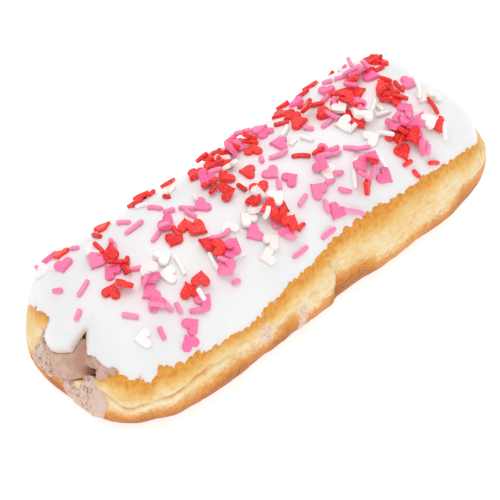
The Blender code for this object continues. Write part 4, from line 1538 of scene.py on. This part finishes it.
def rods_round(tree, given, lines):
    """Rods round the lines, bowed by what their points carry and narrower at the very ends."""
    line = node(tree, "GeometryNodeMeshToCurve", {"Mesh": lines}).outputs[0]
    factor = node(tree, "GeometryNodeSplineParameter").outputs["Factor"]
    arch = maths(tree, "MULTIPLY", factor, maths(tree, "SUBTRACT", 1.0, factor))
    bow = vector_maths(tree, "SCALE", named(tree, "bow", "FLOAT_VECTOR"), arch)
    bent = node(tree, "GeometryNodeSetPosition", {"Geometry": line, "Offset": bow}).outputs[0]
    reach = maths(tree, "ABSOLUTE", maths(tree, "SUBTRACT", factor, 0.5))
    narrowing = node(tree, "ShaderNodeMapRange", {
        "Value": reach, "From Min": ROD_FULL_TO, "From Max": 0.5, "To Min": 1.0, "To Max": ROD_TIP,
    }, interpolation_type="SMOOTHSTEP").outputs["Result"]
    thick = node(tree, "GeometryNodeSetCurveRadius", {"Curve": bent, "Radius": narrowing}).outputs[0]
    ring = node(tree, "GeometryNodeCurvePrimitiveCircle", {
        "Resolution": given.outputs["Sides"],
        "Radius": maths(tree, "MULTIPLY", given.outputs["Width"], 0.5),
    }).outputs[0]
    inputs = {"Curve": thick, "Profile Curve": ring, "Fill Caps": True}
    tube = node(tree, "GeometryNodeCurveToMesh", inputs)
    if "Scale" in tube.inputs:
        tree.links.new(narrowing, tube.inputs["Scale"])
    return tube.outputs[0]


def candy_tree(kind):
    """Tree that lays a candy shape on every point, turned and sized by what the point carries."""
    tree, given, result = geometry_tree("lay " + kind, (
        ("Shape", "Object"), ("Width", "Float"), ("Sides", "Int"), ("Finish", "Material"),
    ))
    shape = node(tree, "GeometryNodeObjectInfo", {"Object": given.outputs["Shape"]})
    laid = node(tree, "GeometryNodeInstanceOnPoints", {
        "Points": given.outputs["Geometry"], "Instance": shape.outputs["Geometry"],
        "Rotation": named(tree, "turn", "QUATERNION"), "Scale": named(tree, "size", "FLOAT_VECTOR"),
    })
    solid = node(tree, "GeometryNodeRealizeInstances", {"Geometry": laid.outputs[0]}).outputs[0]
    if kind == "sticks":
        solid = rods_round(tree, given, solid)
    smooth = node(tree, "GeometryNodeSetShadeSmooth", {"Geometry": solid})
    dress(tree, given, result, smooth.outputs[0])
    return tree


def resting_samples(kind, length):
    """Places on the underside of a candy that it can rest on, in its own flat frame."""
    if kind == "heart":
        return heart_outline(np.radians(HEART_OUTLINE)).tolist()
    return [(length * (step / (STICK_SAMPLES - 1) - 0.5), 0.0) for step in range(STICK_SAMPLES)]


def height_on(disc, spot, normal):
    """How high a laid candy reaches over a place along the normal, 0 beside it."""
    top, facing, reach = disc
    slope = facing.dot(normal)
    if slope < LEAST_FACING:
        return 0.0
    height = (top - spot).dot(facing) / slope
    return height if (spot + normal * height - top).length < reach else 0.0


def come_to_rest(item, ground, discs):
    """Middle and turn of a candy laid on the icing and on the candies that lie there already.
    One that would stand out above the heaps sinks deeper between them."""
    kind, place, heading, lean, lean_heading, length, _ = item
    above = Vector((place.x, place.y, 2 * HEIGHT))
    foot, normal, _, _ = ground.ray_cast(above, Vector((0, 0, -1)))
    if foot is None:
        return None
    flat = Vector((0, 0, 1)).rotation_difference(normal) @ Quaternion((0, 0, 1), math.radians(heading))
    samples = resting_samples(kind, length)
    near = [disc for disc in discs if (disc[0] - foot).length < NEIGHBOURS]
    heights = []
    for across, along in samples:
        spot = foot + flat @ Vector((across, along, 0))
        icing_height = (ground.find_nearest(spot)[0] - spot).dot(normal)
        heights.append(max([icing_height] + [height_on(disc, spot, normal) for disc in near]))
    mean = sum(heights) / len(heights)
    lean_heading = math.radians(lean_heading if kind == "heart" else 0)
    slope = math.tan(math.radians(lean))
    tilts = [slope * math.cos(lean_heading), slope * math.sin(lean_heading)]
    for axis in (0, 1):
        spread = sum(sample[axis] ** 2 for sample in samples)
        rise = sum(sample[axis] * (height - mean) for sample, height in zip(samples, heights))
        tilts[axis] += rise / spread if spread else 0.0
    facing = Vector((-tilts[0], -tilts[1], 1)).normalized()
    lift = max(
        height - across * tilts[0] - along * tilts[1]
        for (across, along), height in zip(samples, heights)
    )
    lift -= SINK + (SINK_STANDING - SINK) * (1 - facing.z ** 2)
    turn = flat @ Vector((0, 0, 1)).rotation_difference(facing)
    thickness = HEART_THICKNESS if kind == "heart" else STICK_WIDTH
    middle = foot + normal * lift + turn @ Vector((0, 0, thickness / 2))
    reach = (HEART_WIDTH if kind == "heart" else length) / 2
    top = middle.z + reach * math.sqrt(max(1 - facing.z ** 2, 0)) + facing.z * thickness / 2
    middle.z -= max(top - CANDY_TOP, 0)
    return middle, turn


def discs_of(kind, length, middle, turn):
    """Flat discs that stand for a laid candy: top, direction it faces, reach."""
    facing = turn @ Vector((0, 0, 1))
    if kind == "heart":
        return [(middle + facing * HEART_THICKNESS / 2, facing, HEART_DISC_SHARE * HEART_WIDTH)]
    reach = max(STICK_DISC_SHARE * length, STICK_WIDTH / 2)
    return [(middle + turn @ Vector((x, y, STICK_WIDTH / 2)), facing, reach)
            for x, y in resting_samples(kind, length)]


CANDY_FINISHES = {
    ("heart", "red"): ("pressed red sugar", "FF352D", "EE1219", 0.46),
    ("heart", "pink"): ("pressed pink sugar", "FF82B2", "FF6CA6", 0.46),
    ("heart", "white"): ("pressed white sugar", "FFFBF6", "FDF5EF", 0.45),
    ("stick", "red"): ("drawn red sugar", "FA2E28", "E41319", 0.36),
    ("stick", "pink"): ("drawn pink sugar", "FF98C2", "FF80B0", 0.38),
    ("stick", "white"): ("drawn white sugar", "FFFDFA", "FEF9F4", 0.38),
}


# What each laid candy carries beside its place
CANDY_FIELDS = (
    ("turn", "QUATERNION"), ("size", "FLOAT_VECTOR"), ("bow", "FLOAT_VECTOR"), ("shade", "FLOAT"),
)
HEART_SIZES = (0.95, 1.05)
HEART_THICKNESSES = (0.92, 1.1)
BOW_PER_BEND = 4


def make_sprinkles(ground):
    """One piece for each kind and colour of candy, laid on the icing."""
    draw = random.Random(SEED + 1)
    groups = {key: [] for key in CANDY_FINISHES}
    spots = []
    colours = []
    discs = []
    for item in scatter():
        kind, length, colour = item[0], item[-2], item[-1]
        rest = come_to_rest(item, ground, discs)
        if rest is None:
            continue
        middle, turn = rest
        discs += discs_of(kind, length, middle, turn)
        spots.append(middle)
        colours.append(colour)
        swell = draw.uniform(*HEART_SIZES)
        size = (swell, swell * draw.uniform(*HEART_SIZES), draw.uniform(*HEART_THICKNESSES))
        bow = Vector((0, 0, 0))
        if kind == "stick":
            size = (length, 1, 1)
            bend = draw.gauss(0, BENT_STICK if draw.random() < BENT_SHARE else STRAIGHT_STICK)
            bow = turn @ Vector((0, BOW_PER_BEND * bend * length, 0))
        groups[(kind, colour)].append((tuple(middle), tuple(turn), size, tuple(bow), draw.random()))
    shapes = {"heart": candy_heart(), "stick": rod_line()}
    trees = {"heart": candy_tree("hearts"), "stick": candy_tree("sticks")}
    pieces = []
    for (kind, colour), laid in groups.items():
        if not laid:
            continue
        piece = new_piece(f"{colour}_{kind}s", [item[0] for item in laid])
        for column, (field, kind_of) in enumerate(CANDY_FIELDS, 1):
            mark(piece, field, [item[column] for item in laid], kind_of)
        add_node_modifier(piece, trees[kind], {
            "Shape": shapes[kind], "Width": STICK_WIDTH, "Sides": ROD_SIDES,
            "Finish": pressed_candy(*CANDY_FINISHES[(kind, colour)]),
        })
        settle(piece)
        pieces.append(piece)
    for shape in shapes.values():
        remove(shape)
    return pieces, spots, colours


# Light, floor and camera

CAMERA_AZIMUTH = -44.767
CAMERA_ELEVATION = 46.0
CAMERA_DISTANCE = 700 * MM
SENSOR = 36.0
PIXELS_PER_MM = 3.204
FRAME_PIXELS = 500
PHOTO_CENTRE = (11.98, 21.6)
LOOK_AT = Vector((1.95 * MM, 0.8 * MM, 20 * MM))


def turn_to(thing, place, aim):
    """Put a camera or lamp at a place and turn it to its aim."""
    thing.location = place
    thing.rotation_mode = "QUATERNION"
    thing.rotation_quaternion = (Vector(aim) - Vector(place)).to_track_quat("-Z", "Y")


def add_camera():
    azimuth = math.radians(CAMERA_AZIMUTH)
    elevation = math.radians(CAMERA_ELEVATION)
    back = Vector((math.sin(azimuth) * math.cos(elevation), -math.cos(azimuth) * math.cos(elevation),
                   math.sin(elevation)))
    right = Vector((math.cos(azimuth), math.sin(azimuth), 0))
    up = back.cross(right)
    aim = LOOK_AT - (right * PHOTO_CENTRE[0] + up * PHOTO_CENTRE[1]) * (MM / PIXELS_PER_MM)
    data = bpy.data.cameras.new("camera")
    data.sensor_width = SENSOR
    data.lens = SENSOR * PIXELS_PER_MM * (CAMERA_DISTANCE / MM) / FRAME_PIXELS
    data.clip_start = 0.05
    data.clip_end = 20
    camera = add_object("camera", data)
    turn_to(camera, LOOK_AT + back * CAMERA_DISTANCE, aim)
    bpy.context.scene.camera = camera


# Soft boxes: place, aim, width, height, power in watts
SOFT_BOXES = (
    ((-0.24, -0.06, 0.98), (0.02, 0, 0.02), 0.9, 0.7, 4.8),
    ((0.36, -0.76, 0.40), (0.02, 0, 0.02), 0.8, 0.5, 0.6),
    ((0.60, 0.30, 0.70), (0.06, 0, 0.02), 0.7, 0.5, 1.4),
)
SKY_STRENGTH = 0.54


def add_light():
    world = bpy.data.worlds.new("studio")
    world.use_nodes = True
    background = world.node_tree.nodes["Background"]
    background.inputs["Color"].default_value = (1, 1, 1, 1)
    background.inputs["Strength"].default_value = SKY_STRENGTH
    bpy.context.scene.world = world
    for number, (place, aim, width, height, power) in enumerate(SOFT_BOXES):
        data = bpy.data.lights.new(f"soft box {number}", "AREA")
        data.shape = "RECTANGLE"
        data.size = width
        data.size_y = height
        data.energy = power
        turn_to(add_object(data.name, data), place, aim)
    bpy.context.scene.view_settings.view_transform = "Standard"


FLOOR_HALF = 3.0


def add_floor():
    signs = ((-1, -1), (1, -1), (1, 1), (-1, 1))
    corners = [(x * FLOOR_HALF, y * FLOOR_HALF, 0) for x, y in signs]
    floor = new_piece("floor", corners, [(0, 1, 2, 3)])
    floor.data.materials.append(plain_floor())


def to_packed_frame(pieces, dough):
    """Shift the pieces from the bar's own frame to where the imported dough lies."""
    places = points_of(dough)
    middle = (places.min(axis=0) + places.max(axis=0)) / 2
    low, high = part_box("dough")
    shift = (low + high) / 2 - Vector(middle)
    shift.z = 0
    for piece in pieces:
        piece.data.transform(Matrix.Translation(shift))


def main():
    dough = make_dough()
    icing = make_icing()
    ground = search_tree(icing)
    cream = make_cream(ground)
    smears = make_smears()
    sprinkles, spots, colours = make_sprinkles(ground)
    # Painted pink bounce light on the icing round the coloured candy
    paint_candy_bounce_light(icing, spots, colours)
    to_packed_frame([dough, icing, cream, smears] + sprinkles, dough)
    for piece, slot in (
        (dough, "fried_dough"), (icing, "white_icing"), (cream, "cream"), (smears, "cream"),
    ):
        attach(piece, "root")
    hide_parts("dough")
    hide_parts("icing")
    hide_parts("filling")
    for piece in sprinkles:
        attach(piece, "root")
        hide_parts("icing")
    add_camera()
    add_light()
    add_floor()


main()
